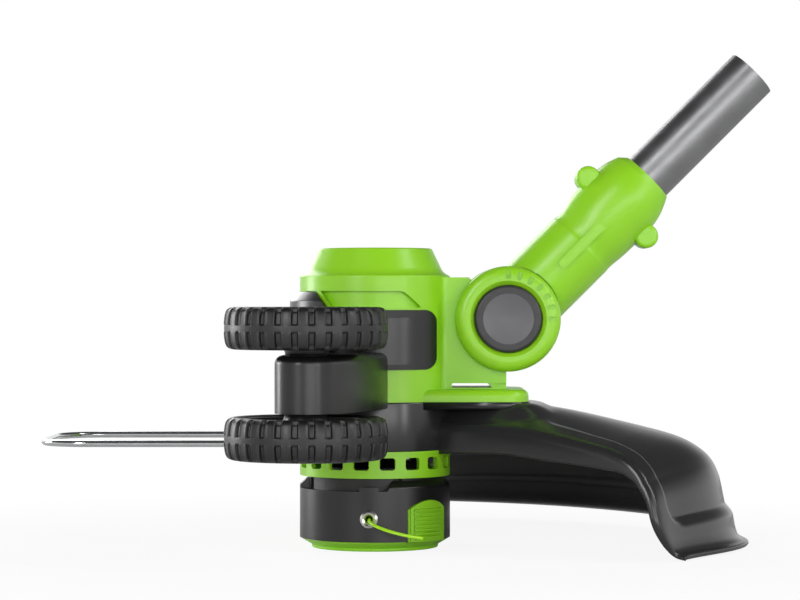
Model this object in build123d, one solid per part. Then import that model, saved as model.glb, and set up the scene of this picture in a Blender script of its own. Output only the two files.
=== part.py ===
from build123d import *
from math import cos, degrees, pi, radians, sin, sqrt, tan
import os

# String trimmer head with its lower shaft tube, in millimetres.
# Origin: on the spool axis, on the ground under the spool cap. +Z up.
# +X points back to the user, -X forward to the plant guard, -Y to the edging wheels.

# ---------------------------------------------------------------- driving sizes
# heights of the stack on the spool axis, from the ground up
CAP_LIP_Z = 1.5
CAP_TOP_Z = 5.0
SPOOL_TOP_Z = 34.5
VENT_BOTTOM_Z = 36.0
VENT_TOP_Z = 49.0
FLANGE_BOTTOM_Z = 73.0
FLANGE_TOP_Z = 79.0
BAND_BOTTOM_Z = 89.0
BAND_TOP_Z = 118.0
BUMP_TOP_Z = 127.0
SHOULDER_Z = 135.0
DOME_TOP_Z = 148.7

# motor housing
HEAD_R = 37.5
HOUSING_WALL = 2.5
SPIGOT_R = 35.0
SPIGOT_WALL = 2.2
DOME_EDGE_R = 28.4
DOME_FOOT_R = 34.2
DOME_FOOT_Z = 136.4
SHOULDER_ROUND = 0.8
FLANGE_HALF_W = 29.0
FLANGE_END_X = 76.0
FLANGE_CORNER_R = 12.0
FLANGE_ROUND = 3.4
YOKE_HALF_W = 17.0
YOKE_END_X = 65.0
YOKE_FILLET = 4.0
BAND_DEPTH = 2.2
RECESS_DEPTH = 2.2
RECESS_END_X = 22.7
RIB_THICK = 2.0

# tilting pivot
PIVOT_X = 65.7
PIVOT_Z = 113.7
EAR_R = 26.0
EAR_FACE_Y = 26.0
EAR_ROUND = 5.0
KNUCKLE_R = 24.0
KNUCKLE_HALF_W = 12.5
PIN_R = 6.0
BEVEL_R = 18.8
EAR_BEVEL = 2.0
BUTTON_R = 16.5
BUTTON_THICK = 4.0
DISH_R = 12.4
DISH_DEPTH = 1.2
LOCK_R = 11.5
LOCK_TEETH = 12
LOCK_LENGTH = 11.0
MARK_STEP_DEG = 15.0
MARK_COUNT = 7
MARK_R = 21.9
MARK_LENGTH = 4.4
MARK_WIDTH = 2.2
MARK_DEPTH = 1.5

# shaft sleeve and tube
SLEEVE_R = 18.5
SLEEVE_SWELL_R = 20.0
SLEEVE_LENGTH = 99.5
SLEEVE_TILT_DEG = 45.0
SLEEVE_WALL = 2.6
EMBOSS_H = 1.1
LUG_R = 6.0
LUG_AT = 78.0
LUG_OFFSET = 20.5
TUBE_R = 13.0
TUBE_WALL = 1.2
TUBE_START = 44.0
TUBE_END = 173.4

# motor
CAN_R = 22.0
CAN_WALL = 1.5
CAN_LENGTH = 60.0
END_CAP_THICK = 6.0
SHAFT_R = 2.5
ROTOR_R = 14.6
MAGNET_R = 20.4
ROTOR_POLES = 5
BEARING_R = 6.0

# spool head
SPOOL_WALL = 2.2
SPOOL_R = 32.3
SPOOL_CORE_R = 15.0
LINE_R = 0.8
DRIVER_R = 33.0
EYELET_ANGLE = -94.0
EYELET_Z = 16.4
LATCH_ANGLE = -45.0
LATCH_HALF_SPAN = 17.5
LATCH_TOP_Z = 25.0
LATCH_SHOULDER_Z = 20.5
LATCH_RIBS = 8
LATCH_RIB_H = 1.1

# vent ring and fan
VENT_SLOTS = 18
VENT_SLOT_W = 7.75
VENT_SLOT_H = 6.0
FAN_BLADES = 11
FAN_R = 26.5

# edging wheels
WHEEL_X = -31.0
WHEEL_Y = -100.0
WHEEL_R = 38.6
WHEEL_W = 20.0
LOWER_WHEEL_Z = 49.0
UPPER_WHEEL_Z = 100.0
TREAD_NOTCHES = 30
NOTCH_W = 3.0
NOTCH_L = 7.2
NOTCH_DEPTH = 1.6
NOTCH_INSET = 0.7
AXLE_R = 4.0
ARM_BOTTOM_Z = 70.5
ARM_TOP_Z = 97.4
ARM_R = 14.6
ARM_END_X = 6.5
ARM_ROUND = 4.0
LEDGE_ANGLE = 61.0
LEDGE_END_X = 2.0
UPPER_LEDGE = 3.6
LOWER_LEDGE = 2.5

# line guard
GUARD_START_DEG = -34.0
GUARD_END_DEG = 88.0
GUARD_WALL = 2.6
GUARD_EDGE_DROP = 10.5
NEAR_PULL = 0.095
PULL_SPAN_DEG = 30.0
PULL_FROM_R = 130.0
PULL_FULL_R = 170.0
PANEL_DEPTH = 3.4
PANEL_MARGIN_DEG = 3.2
GUARD_CORNER_R = 27.0
BOSS_H = 5.0
GUARD_R = 187.0
COLLAR_WALL = 3.2
CUTTER_R = 165.0

# plant guard
WIRE_R = 1.6
WIRE_Z = 53.5
WIRE_HINGE_X = -50.0
WIRE_HALF_W = 45.0
WIRE_TIP_X = -162.0
WIRE_CORNER_R = 23.0

# clearances
RUNNING = 0.05
SLIDING = 0.3
SEAT = 0.1
SCREW_GAP = 0.1
TILT_GAP = 0.5

SCREW_R = 1.5
SCREW_HEAD_R = 3.0
SCREW_HEAD_H = 2.2

# motor housing: details
HOUSING_SCREW_XZ = [(-28.6, 82.5), (-20.0, 125.0), (29.0, 96.0), (28.6, 126.0), (-2.0, 138.5)]
BAND_NEAR_X = 30.5
BAND_FAR_X = -30.5
BUMP_END_Y = 14.0
BUMP_FOOT_X = -23.0
BUMP_TOP_X = -29.0

# vent ring and motor mount: details
MOUNT_THICK = 3.0
MOUNT_TOP_Z = VENT_TOP_Z + MOUNT_THICK
LEDGE_THICK = 2.5
COVER_SCREW_R = 30.6
VENT_WALL = 2.5

# motor: details
BOSS_R = 8.7
MOTOR_SCREW_R = 13.5
CAN_BOTTOM_Z = MOUNT_TOP_Z
CAN_TOP_Z = CAN_BOTTOM_Z + CAN_LENGTH
BEARING_H = 4.0
COMMUTATOR_R = 7.0

# spool head: details
SHAFT_BOTTOM_Z = 17.0
DRIVER_TOP_Z = VENT_BOTTOM_Z - 0.5
WEB_TOP_Z = 29.7
WEB_THICK = 2.2
NUT_H = 4.0
EYELET_NECK_R = 3.0
CUTTING_LINE_POINTS = [(-1.9, -27.2, 16.5), (-2.6, -37.0, 16.4), (-2.3, -42.9, 15.3), (1.4, -48.0, 13.5),
                       (8.1, -51.3, 11.4), (15.7, -53.9, 9.7), (23.5, -56.0, 8.8)]

# edging wheels and bracket: details
BRACKET_SCREW_ANGLE = 152.0
BRACKET_SCREW_Z = (95.0, 112.0)
HUB_FLANGE_R = 11.5
HUB_INSET = 4.0
CLIP_THICK = 0.9
GROOVE_DEPTH = 0.8
CLIP_LOW_Z = LOWER_WHEEL_Z + HUB_INSET - SLIDING - CLIP_THICK
CLIP_HIGH_Z = UPPER_WHEEL_Z + WHEEL_W - HUB_INSET + SLIDING
TYRE_DEPTH = 8.6
TYRE_SEAT_R = WHEEL_R - TYRE_DEPTH
HUB_BORE_R = AXLE_R + 1.6

# line guard: details
LIP_REACH = 8.5
LIP_H = 3.4
GUARD_SCREW_XY = [(66.0, 0.0), (52.0, 20.0), (52.0, -20.0)]
GUARD_PROFILE = [(36.5, 72.0), (60, 72.4), (77, 72.0), (95, 69.8), (112, 67.0), (137, 62.0), (152, 58.0),
                 (162, 53.0),
                 (170, 46.5), (174.5, 38.0), (177.5, 25.0), (180.0, 12.0), (182.6, 1.5)]
GUARD_FOOT_R = 180.0
NEAR_EDGE = [(40.0, 14.0), (100.0, 12.0), (137.0, 8.5), (165.0, 4.5), (182.0, 3.6)]
FAR_EDGE = [(40.0, 13.0), (182.0, 13.0)]
CLIP_TOP_Z = 67.0
CLIP_PAD_X = -42.5
CLIP_SCREW_Z = 62.9
CLIP_SCREW_Y = (-10.0, 10.0)
CLIP_SCREW_LENGTH = 7.4
CLIP_SCREW_GAP = 0.25
CLIP_HALF_W = 16.0
WIRE_GRIP = 10.0
CUTTER_Z = 13.5
CUTTER_THICK = 1.5
CUTTER_SCREW_Z = (17.5, 24.5)

# pivot: details
EAR_BORE = 9.5
PIVOT_CAP_THICK = 3.5
PIN_HEAD_R = 10.0
PIN_HEAD_Y = 19.5
LOCK_OFFSET = 6.0
KNUCKLE_POCKET_Y = 5.0

# sleeve and tube: details
LUG_HALF_W = 9.5


# ---------------------------------------------------------------- plain shapes
def rod(radius, z0, z1, x=0.0, y=0.0):
    """Cylinder about a vertical axis."""
    bar = Cylinder(radius, z1 - z0, align=(Align.CENTER, Align.CENTER, Align.MIN))
    return Pos(x, y, z0) * bar


def ring(outer, inner, z0, z1, x=0.0, y=0.0):
    """Tube about a vertical axis."""
    return rod(outer, z0, z1, x, y) - rod(inner, z0 - 1, z1 + 1, x, y)


def cross_rod(radius, y0, y1, x, z):
    """Cylinder about an axis along Y."""
    bar = Cylinder(radius, y1 - y0, align=(Align.CENTER, Align.CENTER, Align.MIN))
    return Pos(x, y0, z) * Rot(-90, 0, 0) * bar


def long_rod(radius, x0, x1):
    """Cylinder about the X axis."""
    bar = Cylinder(radius, x1 - x0, align=(Align.CENTER, Align.CENTER, Align.MIN))
    return Pos(x0, 0, 0) * Rot(0, 90, 0) * bar


def cross_ring(outer, inner, y0, y1, x, z):
    """Tube about an axis along Y."""
    return cross_rod(outer, y0, y1, x, z) - cross_rod(inner, y0 - 1, y1 + 1, x, z)


def block(x0, x1, y0, y1, z0, z1):
    """Box between two corners."""
    size = (x1 - x0, y1 - y0, z1 - z0)
    return Pos((x0 + x1) / 2, (y0 + y1) / 2, (z0 + z1) / 2) * Box(*size)


def spun(points, radii=0.0, x=0.0, y=0.0, arc=360.0):
    """Revolve a closed (radius, height) outline about a vertical axis; radii round its corners."""
    edge = FilletPolyline(*points, radius=radii, close=True)
    return Pos(x, y, 0) * revolve(Plane.XZ * make_face(edge), Axis.Z, arc)


def side_slab(points, radii, y0, y1):
    """Extrude a closed (x, z) outline along Y from y0 to y1."""
    edge = FilletPolyline(*points, radius=radii, close=True)
    return Pos(0, y1, 0) * extrude(Plane.XZ * make_face(edge), y1 - y0)


def plan_slab(points, radii, z0, z1):
    """Extrude a closed (x, y) outline upward from z0 to z1."""
    edge = FilletPolyline(*points, radius=radii, close=True)
    return Pos(0, 0, z0) * extrude(make_face(edge), z1 - z0)


def around(shape, count, start=0.0):
    """Copies of a shape, evenly spaced about the spool axis."""
    return [Rot(0, 0, start + 360.0 / count * i) * shape for i in range(count)]


def at_angle(angle, shape):
    """Turn a shape made on the +X side to an angle about the spool axis."""
    return Rot(0, 0, angle) * shape


def on_shaft(shape):
    """Move a shape from the sleeve's own frame, axis along +X, to its place at rest."""
    return Pos(PIVOT_X, 0, PIVOT_Z) * Rot(0, -SLEEVE_TILT_DEG, 0) * shape


def screw(length):
    """Pan-head screw along -Z with its seat at z = 0."""
    head = spun([(0, 0), (SCREW_HEAD_R, 0), (SCREW_HEAD_R, SCREW_HEAD_H), (0, SCREW_HEAD_H)],
                [0, 0, 1.2, 0])
    shank = rod(SCREW_R, -length, 0)
    drive = Pos(0, 0, SCREW_HEAD_H) * Box(3.2, 0.8, 2) + Pos(0, 0, SCREW_HEAD_H) * Box(0.8, 3.2, 2)
    return head + shank - drive


def solids_of(shapes):
    """One compound of all the solids in a list of shapes."""
    found = []
    for shape in shapes:
        found.extend(shape.solids())
    return Compound(children=found)


# ---------------------------------------------------------------- motor housing


def housing_body():
    """Outside of the housing: drum, flared dome, yoke block, base flange and ears."""
    dome = [(0, FLANGE_BOTTOM_Z), (HEAD_R, FLANGE_BOTTOM_Z), (HEAD_R, SHOULDER_Z), (DOME_FOOT_R, DOME_FOOT_Z),
            (DOME_EDGE_R, DOME_TOP_Z), (0, DOME_TOP_Z)]
    drum = spun(dome, [0, 0, SHOULDER_ROUND, 7, 1.4, 0])
    flange = plan_slab(flange_outline(0), [0, FLANGE_CORNER_R, FLANGE_CORNER_R, 0], FLANGE_BOTTOM_Z,
                       FLANGE_TOP_Z)
    flange = fillet(flange.faces().sort_by(Axis.Z)[-1].edges().sort_by(Axis.X)[1:], FLANGE_ROUND)
    top = SHOULDER_Z - SHOULDER_ROUND
    side = side_slab([(0, FLANGE_TOP_Z - 1), (YOKE_END_X, FLANGE_TOP_Z - 1), (YOKE_END_X, PIVOT_Z),
                      (YOKE_END_X - SLEEVE_R, top), (0, top)], 0, -HEAD_R, HEAD_R)
    # the yoke leaves the drum in a round inner corner on each side
    plan = Circle(HEAD_R) + Pos(YOKE_END_X / 2, 0) * Rectangle(YOKE_END_X, 2 * YOKE_HALF_W)
    corner_x = sqrt(HEAD_R ** 2 - YOKE_HALF_W ** 2)
    corners = plan.vertices().filter_by_position(Axis.X, corner_x - 0.5, corner_x + 0.5)
    yoke = extrude(fillet(corners, YOKE_FILLET), FLANGE_BOTTOM_Z + top) & side
    body = drum + flange + yoke
    ears = cross_rod(EAR_R, -EAR_FACE_Y, EAR_FACE_Y, PIVOT_X, PIVOT_Z)
    ears = fillet(ears.edges().filter_by(GeomType.CIRCLE), EAR_ROUND)
    return body + ears


def flange_outline(inset):
    """Plan of the base flange's tongue, drawn in by an inset."""
    half = FLANGE_HALF_W - inset
    end = FLANGE_END_X - inset
    return [(0, -half), (end, -half), (end, half), (0, half)]


def pivot_room():
    """Space between the ears in which the sleeve's knuckle and neck turn."""
    half = KNUCKLE_HALF_W + TILT_GAP
    r = KNUCKLE_R + 3.0
    room = cross_rod(r, -half, half, PIVOT_X, PIVOT_Z)
    right = block(PIVOT_X, PIVOT_X + 2 * r, -half, half, PIVOT_Z - SLEEVE_R - 2, PIVOT_Z + 2 * r)
    left = block(PIVOT_X - SLEEVE_R - 1, PIVOT_X + r, -half, half, PIVOT_Z, PIVOT_Z + 2 * r)
    return room + right + left


def band_outline(x_end, gap):
    """Side view of the bracket band, ending at x_end, grown by a gap."""
    return [(-60, BAND_BOTTOM_Z - gap), (x_end + gap, BAND_BOTTOM_Z - gap),
            (x_end + gap, BAND_TOP_Z + gap), (-60, BAND_TOP_Z + gap)]


def bump_outline(gap):
    """Side view of the raised front of the bracket."""
    return [(-60, BAND_BOTTOM_Z - gap), (BUMP_FOOT_X + 1 + gap, BAND_BOTTOM_Z - gap),
            (BUMP_FOOT_X + gap, BAND_TOP_Z + gap),
            (BUMP_TOP_X + gap, BUMP_TOP_Z + gap), (-60, BUMP_TOP_Z + gap)]


def band_zone(gap):
    """Everything in side view that the bracket's band covers, near side and far side."""
    near = side_slab(band_outline(BAND_NEAR_X, gap), [0, 6, 6, 0], -60, 0)
    far = side_slab(band_outline(BAND_FAR_X, gap), [0, 6, 6, 0], 0, 60)
    front = side_slab(bump_outline(gap), [0, 0, 4, 3, 0], -60, BUMP_END_Y + gap)
    return near + far + front


def housing_cavity():
    """Hollow inside of the housing, narrower behind the sunk bands."""
    r = HEAD_R - HOUSING_WALL
    waist = HEAD_R - BAND_DEPTH - HOUSING_WALL
    neck = SPIGOT_R - SPIGOT_WALL
    low = FLANGE_TOP_Z - HOUSING_WALL
    points = [(0, VENT_TOP_Z), (neck, VENT_TOP_Z), (neck, low), (r, low), (r, BAND_BOTTOM_Z - 4),
              (waist, BAND_BOTTOM_Z - 2), (waist, SHOULDER_Z - 4),
              (DOME_FOOT_R - HOUSING_WALL - 1.5, DOME_FOOT_Z),
              (DOME_EDGE_R - HOUSING_WALL - 1, DOME_TOP_Z - HOUSING_WALL), (0, DOME_TOP_Z - HOUSING_WALL)]
    return spun(points)


def motor_cradle():
    """Two ring ribs that grip the motor can, notched for the air."""
    ribs = []
    for z in (FLANGE_TOP_Z + 1, BAND_TOP_Z - 12):
        rib = ring(HEAD_R - HOUSING_WALL - 1, CAN_R, z, z + RIB_THICK)
        notch = block(CAN_R - 1, CAN_R + 8, -7, 7, z - 1, z + RIB_THICK + 1)
        for cut in around(notch, 4, 45):
            rib -= cut
        ribs.append(rib)
    return ribs


def housing_boss(x, z):
    """Screw boss across both halves."""
    return cross_rod(3.6, -HEAD_R, HEAD_R, x, z)


def tilt_marks():
    """Capsule marks on the near ear face, one every 15 degrees over a quarter turn."""
    marks = []
    for i in range(MARK_COUNT):
        capsule = Pos(MARK_R, 0) * (SlotOverall(MARK_LENGTH, MARK_WIDTH))
        mark = Pos(PIVOT_X, -EAR_FACE_Y + MARK_DEPTH, PIVOT_Z) * Rot(0, -MARK_STEP_DEG * i, 0) * Rot(90, 0, 0)
        marks.append(mark * extrude(capsule, 5.0))
    return marks


def housing():
    """The whole housing before it is split into its two halves."""
    body = housing_body()
    spigot = ring(SPIGOT_R, SPIGOT_R - SPIGOT_WALL, MOUNT_TOP_Z, FLANGE_BOTTOM_Z)
    shell = body - housing_cavity()
    cavity_wall = rod(HEAD_R - 1, FLANGE_BOTTOM_Z, SHOULDER_Z - 2)
    inside = [(rib & cavity_wall) for rib in motor_cradle()]
    for x, z in HOUSING_SCREW_XZ:
        inside.append(housing_boss(x, z) & body)
    shell += inside
    shell += spigot
    for foot in around(rod(3.4, MOUNT_TOP_Z, FLANGE_BOTTOM_Z - 1, COVER_SCREW_R, 0), 3, 60):
        shell += foot & rod(SPIGOT_R - 1, MOUNT_TOP_Z, FLANGE_BOTTOM_Z)
    shell -= pivot_room()

    # sunk band and front pocket for the wheel bracket
    sunk = ring(HEAD_R + 20, HEAD_R - BAND_DEPTH, BAND_BOTTOM_Z - 10, BUMP_TOP_Z + 5)
    yoke_side = block(-80, YOKE_END_X - 32, -80, 80, 0, 200)
    shell -= sunk & band_zone(SLIDING / 2) & yoke_side
    # shallow grip recess over the band, with a rounded back end and a raised lip at its front
    low, high = BAND_TOP_Z + 1.2, BUMP_TOP_Z + 0.4
    grip = side_slab([(-27.5, low), (RECESS_END_X, low), (RECESS_END_X - 1, low + 1.5),
                      (RECESS_END_X - 8.2, high),
                      (-34, high)], [4, 0.5, 2.5, 7.5, 0.4], -60, 0)
    shell -= grip & ring(HEAD_R + 20, HEAD_R - RECESS_DEPTH, BAND_TOP_Z, BUMP_TOP_Z + 1)
    edge = side_slab([(BUMP_FOOT_X + 0.5, BAND_TOP_Z + 1), (BUMP_FOOT_X + 2.6, BAND_TOP_Z + 1),
                      (BUMP_TOP_X + 2.6, high),
                      (BUMP_TOP_X + 0.5, high)], 0.4, -60, 0)
    shell += edge & ring(HEAD_R + 1.2, HEAD_R - HOUSING_WALL, BAND_TOP_Z, BUMP_TOP_Z + 1)

    # see-through slot under the yoke
    slot_low, slot_high = FLANGE_TOP_Z + 0.7, FLANGE_TOP_Z + 2.9
    shell -= side_slab([(38, slot_low), (YOKE_END_X - 7, slot_low), (YOKE_END_X - 9, slot_high),
                        (38, slot_high)],
                       [1.0, 0.3, 0.3, 1.0], -40, 40)
    # shallow groove from the slot to the yoke's end, on both sides
    groove = block(YOKE_END_X - 9, YOKE_END_X + 5, -40, 40, slot_low + 0.6, slot_high)
    shell -= groove - block(0, 100, -YOKE_HALF_W + 1.0, YOKE_HALF_W - 1.0, 0, 200)
    # button bore and lock passage in the near ear, pin seat in the far ear
    shell -= cross_rod(BUTTON_R + SLIDING, -EAR_FACE_Y - 1, -EAR_FACE_Y + EAR_BORE, PIVOT_X, PIVOT_Z)
    bore = BUTTON_R + SLIDING
    bevel = Cone(2 * BEVEL_R - bore, bore, 2 * EAR_BEVEL)
    shell -= Pos(PIVOT_X, -EAR_FACE_Y, PIVOT_Z) * Rot(-90, 0, 0) * bevel
    shell -= cross_rod(LOCK_R + SLIDING, -EAR_FACE_Y, 0, PIVOT_X, PIVOT_Z)
    shell -= cross_rod(PIN_R + SEAT, 0, EAR_FACE_Y, PIVOT_X, PIVOT_Z)
    shell -= cross_rod(BUTTON_R, EAR_FACE_Y - PIVOT_CAP_THICK, EAR_FACE_Y + 1, PIVOT_X, PIVOT_Z)
    shell -= cross_rod(PIN_HEAD_R + SEAT, PIN_HEAD_Y, EAR_FACE_Y, PIVOT_X, PIVOT_Z)
    for mark in tilt_marks():
        shell -= mark

    # guard screws come up into the flange
    for x, y in GUARD_SCREW_XY:
        shell -= rod(SCREW_R + SCREW_GAP, FLANGE_BOTTOM_Z - 1, FLANGE_TOP_Z - 1, x, y)
    for hole in around(rod(SCREW_R + SCREW_GAP, 0, FLANGE_BOTTOM_Z - 4, COVER_SCREW_R, 0), 3, 60):
        shell -= hole
    for hole in bracket_screw_holes():
        shell -= hole
    # housing screws enter from the far side
    for x, z in HOUSING_SCREW_XZ:
        seat = screw_seat_y(x, z)
        shell -= cross_rod(SCREW_R + SCREW_GAP, -12, seat + 1, x, z)
        shell -= cross_rod(SCREW_HEAD_R + 0.4, seat, HEAD_R + 5, x, z)
    return shell


def screw_seat_y(x, z):
    """Depth at which a housing screw's head seats, below the far surface."""
    r = HEAD_R if z < SHOULDER_Z else DOME_EDGE_R
    return sqrt(r * r - x * x) - 5.0


def housing_half(shell, side):
    """One half of the housing: side -1 is near, +1 is far."""
    y0, y1 = (-60, 0) if side < 0 else (0, 60)
    half = shell & block(-80, 120, y0, y1, 0, 200)
    return biggest(half)


def biggest(shape):
    """The largest solid of a shape."""
    return sorted(shape.solids(), key=lambda s: s.volume)[-1]


def housing_screws():
    """Screws through the far half into the near half."""
    made = []
    for x, z in HOUSING_SCREW_XZ:
        made.append(Pos(x, screw_seat_y(x, z), z) * Rot(-90, 0, 0) * screw(screw_seat_y(x, z) + 10))
    return solids_of(made)


# ---------------------------------------------------------------- vent ring and motor mount


def vent_ring():
    """Slotted lower cover with a floor, and a ledge that carries the motor mount."""
    floor = 2.0
    inner = HEAD_R - VENT_WALL
    ledge_r = FAN_R + 0.6
    points = [(SHAFT_R + 6, VENT_BOTTOM_Z), (HEAD_R, VENT_BOTTOM_Z), (HEAD_R, VENT_TOP_Z - 1.2),
              (HEAD_R + 0.6, VENT_TOP_Z - 1.2), (HEAD_R + 0.6, VENT_TOP_Z), (ledge_r, VENT_TOP_Z),
              (ledge_r, VENT_TOP_Z - LEDGE_THICK), (inner, VENT_TOP_Z - LEDGE_THICK),
              (inner, VENT_BOTTOM_Z + floor), (SHAFT_R + 6, VENT_BOTTOM_Z + floor)]
    body = spun(points)
    slot_z = VENT_BOTTOM_Z + 4 + VENT_SLOT_H / 2
    slot = extrude(RectangleRounded(VENT_SLOT_H, VENT_SLOT_W, 1.5), 10)
    slot = Pos(HEAD_R - 5, 0, slot_z) * Rot(0, 90, 0) * slot
    for cut in around(slot, VENT_SLOTS):
        body -= cut
    for hole in around(rod(SCREW_R + SCREW_GAP, VENT_TOP_Z - 5, VENT_TOP_Z + 1, COVER_SCREW_R, 0), 3, 60):
        body -= hole
    return body


def motor_mount():
    """Plate under the motor, with air slots round its middle."""
    plate = rod(SPIGOT_R - SEAT, VENT_TOP_Z, MOUNT_TOP_Z) - rod(BOSS_R + SEAT, 0, 100)
    air = ring(26.5, 19.0, VENT_TOP_Z - 1, MOUNT_TOP_Z + 1)
    spokes = [at_angle(a, block(0, 40, -3.5, 3.5, 0, 100)) for a in (0, 90, 180, 270)]
    for spoke in spokes:
        air -= spoke
    plate -= air
    for hole in around(rod(SCREW_R + SCREW_GAP, 0, 100, COVER_SCREW_R, 0), 3, 60):
        plate -= hole
    for hole in around(rod(SCREW_R + SCREW_GAP, 0, 100, MOTOR_SCREW_R, 0), 2, 0):
        plate -= hole
    return plate


def vent_ring_screws():
    """Screws up through the ledge and the mount into the spigot's feet."""
    one = Pos(COVER_SCREW_R, 0, VENT_TOP_Z - LEDGE_THICK) * Rot(180, 0, 0) * screw(18)
    return solids_of(around(one, 3, 60))


# ---------------------------------------------------------------- motor


def motor_can():
    """Drawn steel can with a bearing boss at its closed lower end."""
    wall = CAN_R - CAN_WALL
    r = CAN_R - SEAT
    points = [(SHAFT_R + 0.8, CAN_BOTTOM_Z - 2.5), (BOSS_R, CAN_BOTTOM_Z - 2.5), (BOSS_R, CAN_BOTTOM_Z),
              (r, CAN_BOTTOM_Z), (r, CAN_TOP_Z), (wall, CAN_TOP_Z), (wall, CAN_BOTTOM_Z + 2),
              (BEARING_R, CAN_BOTTOM_Z + 2), (BEARING_R, CAN_BOTTOM_Z - 1), (SHAFT_R + 0.8, CAN_BOTTOM_Z - 1)]
    can = spun(points, [0, 0, 0, 1.5, 0, 0, 0, 0, 0, 0])
    for hole in around(rod(SCREW_R + SCREW_GAP, 0, CAN_BOTTOM_Z + 3, MOTOR_SCREW_R, 0), 2, 0):
        can -= hole
    return can


def motor_screws():
    """Two screws that hold the can to the mount."""
    one = Pos(MOTOR_SCREW_R, 0, VENT_TOP_Z) * Rot(180, 0, 0) * screw(MOUNT_THICK + 3)
    return solids_of(around(one, 2, 0))


def bearing(z):
    """Plain bronze bearing on the motor shaft."""
    return ring(BEARING_R, SHAFT_R + RUNNING, z, z + BEARING_H)


def motor_magnets():
    """Two arc magnets inside the can."""
    shell = ring(MAGNET_R, ROTOR_R + 0.6, CAN_BOTTOM_Z + 8, CAN_TOP_Z - 14)
    return solids_of([shell & block(-40, 40, 4, 40, 0, 200), shell & block(-40, 40, -40, -4, 0, 200)])


def rotor_core():
    """Stack of laminations with one slot between each pair of poles."""
    z0, z1 = CAN_BOTTOM_Z + 10, CAN_TOP_Z - 16
    core = ring(ROTOR_R, SHAFT_R, z0, z1)
    slot = rod(3.4, z0 - 1, z1 + 1, ROTOR_R - 5.2, 0)
    slot += block(ROTOR_R - 4, ROTOR_R + 2, -0.9, 0.9, z0 - 1, z1 + 1)
    for cut in around(slot, ROTOR_POLES):
        core -= cut
    return core


def rotor_windings():
    """Copper coils in the core's slots, with end turns below and above it."""
    z0, z1 = CAN_BOTTOM_Z + 10, CAN_TOP_Z - 16
    coils = around(rod(3.2, z0 - 3, z1 + 3, ROTOR_R - 5.2, 0), ROTOR_POLES)
    ends = [ring(ROTOR_R - 1.8, 5.5, z0 - 4, z0), ring(ROTOR_R - 1.8, 5.5, z1, z1 + 4)]
    whole = ends[0] + ends[1]
    for coil in coils:
        whole += coil
    return whole


def commutator():
    """Segmented copper ring above the rotor."""
    z0 = CAN_TOP_Z - 10
    body = ring(COMMUTATOR_R, SHAFT_R, z0, z0 + 8)
    for cut in around(block(COMMUTATOR_R - 1, COMMUTATOR_R + 1, -0.3, 0.3, z0 - 1, z0 + 9), ROTOR_POLES):
        body -= cut
    return body


def motor_shaft():
    """Steel shaft from the nut under the driver to the upper bearing."""
    return rod(SHAFT_R, SHAFT_BOTTOM_Z, CAN_TOP_Z + 5)


def motor_end_cap():
    """Plastic plate that closes the can and holds the brushes and the upper bearing."""
    r = CAN_R - SEAT
    plug = CAN_R - CAN_WALL - SEAT
    points = [(0, CAN_TOP_Z + END_CAP_THICK), (r, CAN_TOP_Z + END_CAP_THICK), (r, CAN_TOP_Z),
              (plug, CAN_TOP_Z), (plug, CAN_TOP_Z - 2), (BEARING_R, CAN_TOP_Z - 2),
              (BEARING_R, CAN_TOP_Z + 1 + BEARING_H), (0, CAN_TOP_Z + 1 + BEARING_H)]
    cap = spun(points)
    for side in (0, 180):
        cap -= at_angle(side, block(14.0, 15.0, -3, 3, CAN_TOP_Z - 3, CAN_TOP_Z + 20))
    return cap


def motor_brushes():
    """Two carbon brushes held just off the commutator, hung from the end cap."""
    arm = block(COMMUTATOR_R + 0.15, 15, -2.2, 2.2, CAN_TOP_Z - 8, CAN_TOP_Z - 4)
    leg = block(12, 15, -2.2, 2.2, CAN_TOP_Z - 8, CAN_TOP_Z - 2)
    return solids_of(around(arm + leg, 2))


def motor_terminals():
    """Two flat brass tabs through the end cap."""
    tab = block(14.1, 14.9, -2.9, 2.9, CAN_TOP_Z - 2, CAN_TOP_Z + END_CAP_THICK + 8)
    tab -= Pos(14.5, 0, CAN_TOP_Z + END_CAP_THICK + 5) * Rot(0, 90, 0) * Cylinder(0.9, 4)
    return solids_of(around(tab, 2))


def motor_fan():
    """Radial fan behind the vent slots."""
    z0 = VENT_BOTTOM_Z + 2.8
    top = VENT_TOP_Z - LEDGE_THICK - 0.6
    fan = ring(FAN_R, SHAFT_R, z0, z0 + 1.4) + ring(7, SHAFT_R, z0, top)
    blade = block(6, FAN_R - 0.4, -0.7, 0.7, z0 + 0.7, top - 0.5)
    for one in around(blade, FAN_BLADES, 5):
        fan += one
    return fan


# ---------------------------------------------------------------- spool head


def driver_disc():
    """Disc on the motor shaft that carries the spool housing."""
    fan_seat = VENT_BOTTOM_Z + 2.8
    points = [(SHAFT_R, SHAFT_BOTTOM_Z + NUT_H + 1), (7, SHAFT_BOTTOM_Z + NUT_H + 1), (7, WEB_TOP_Z),
              (DRIVER_R, WEB_TOP_Z), (DRIVER_R, DRIVER_TOP_Z), (7, DRIVER_TOP_Z), (7, fan_seat),
              (SHAFT_R, fan_seat)]
    disc = spun(points)
    notch = block(DRIVER_R - 3, DRIVER_R + 2, -2.4, 2.4, WEB_TOP_Z - 1, DRIVER_TOP_Z + 1)
    for cut in around(notch, 4, -70):
        disc -= cut
    return disc


def driver_nut():
    """Nut that clamps the driver disc to the shaft."""
    nut = extrude(RegularPolygon(4.6, 6), NUT_H) - Cylinder(SHAFT_R, 20)
    return Pos(0, 0, SHAFT_BOTTOM_Z + 1) * nut


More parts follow.
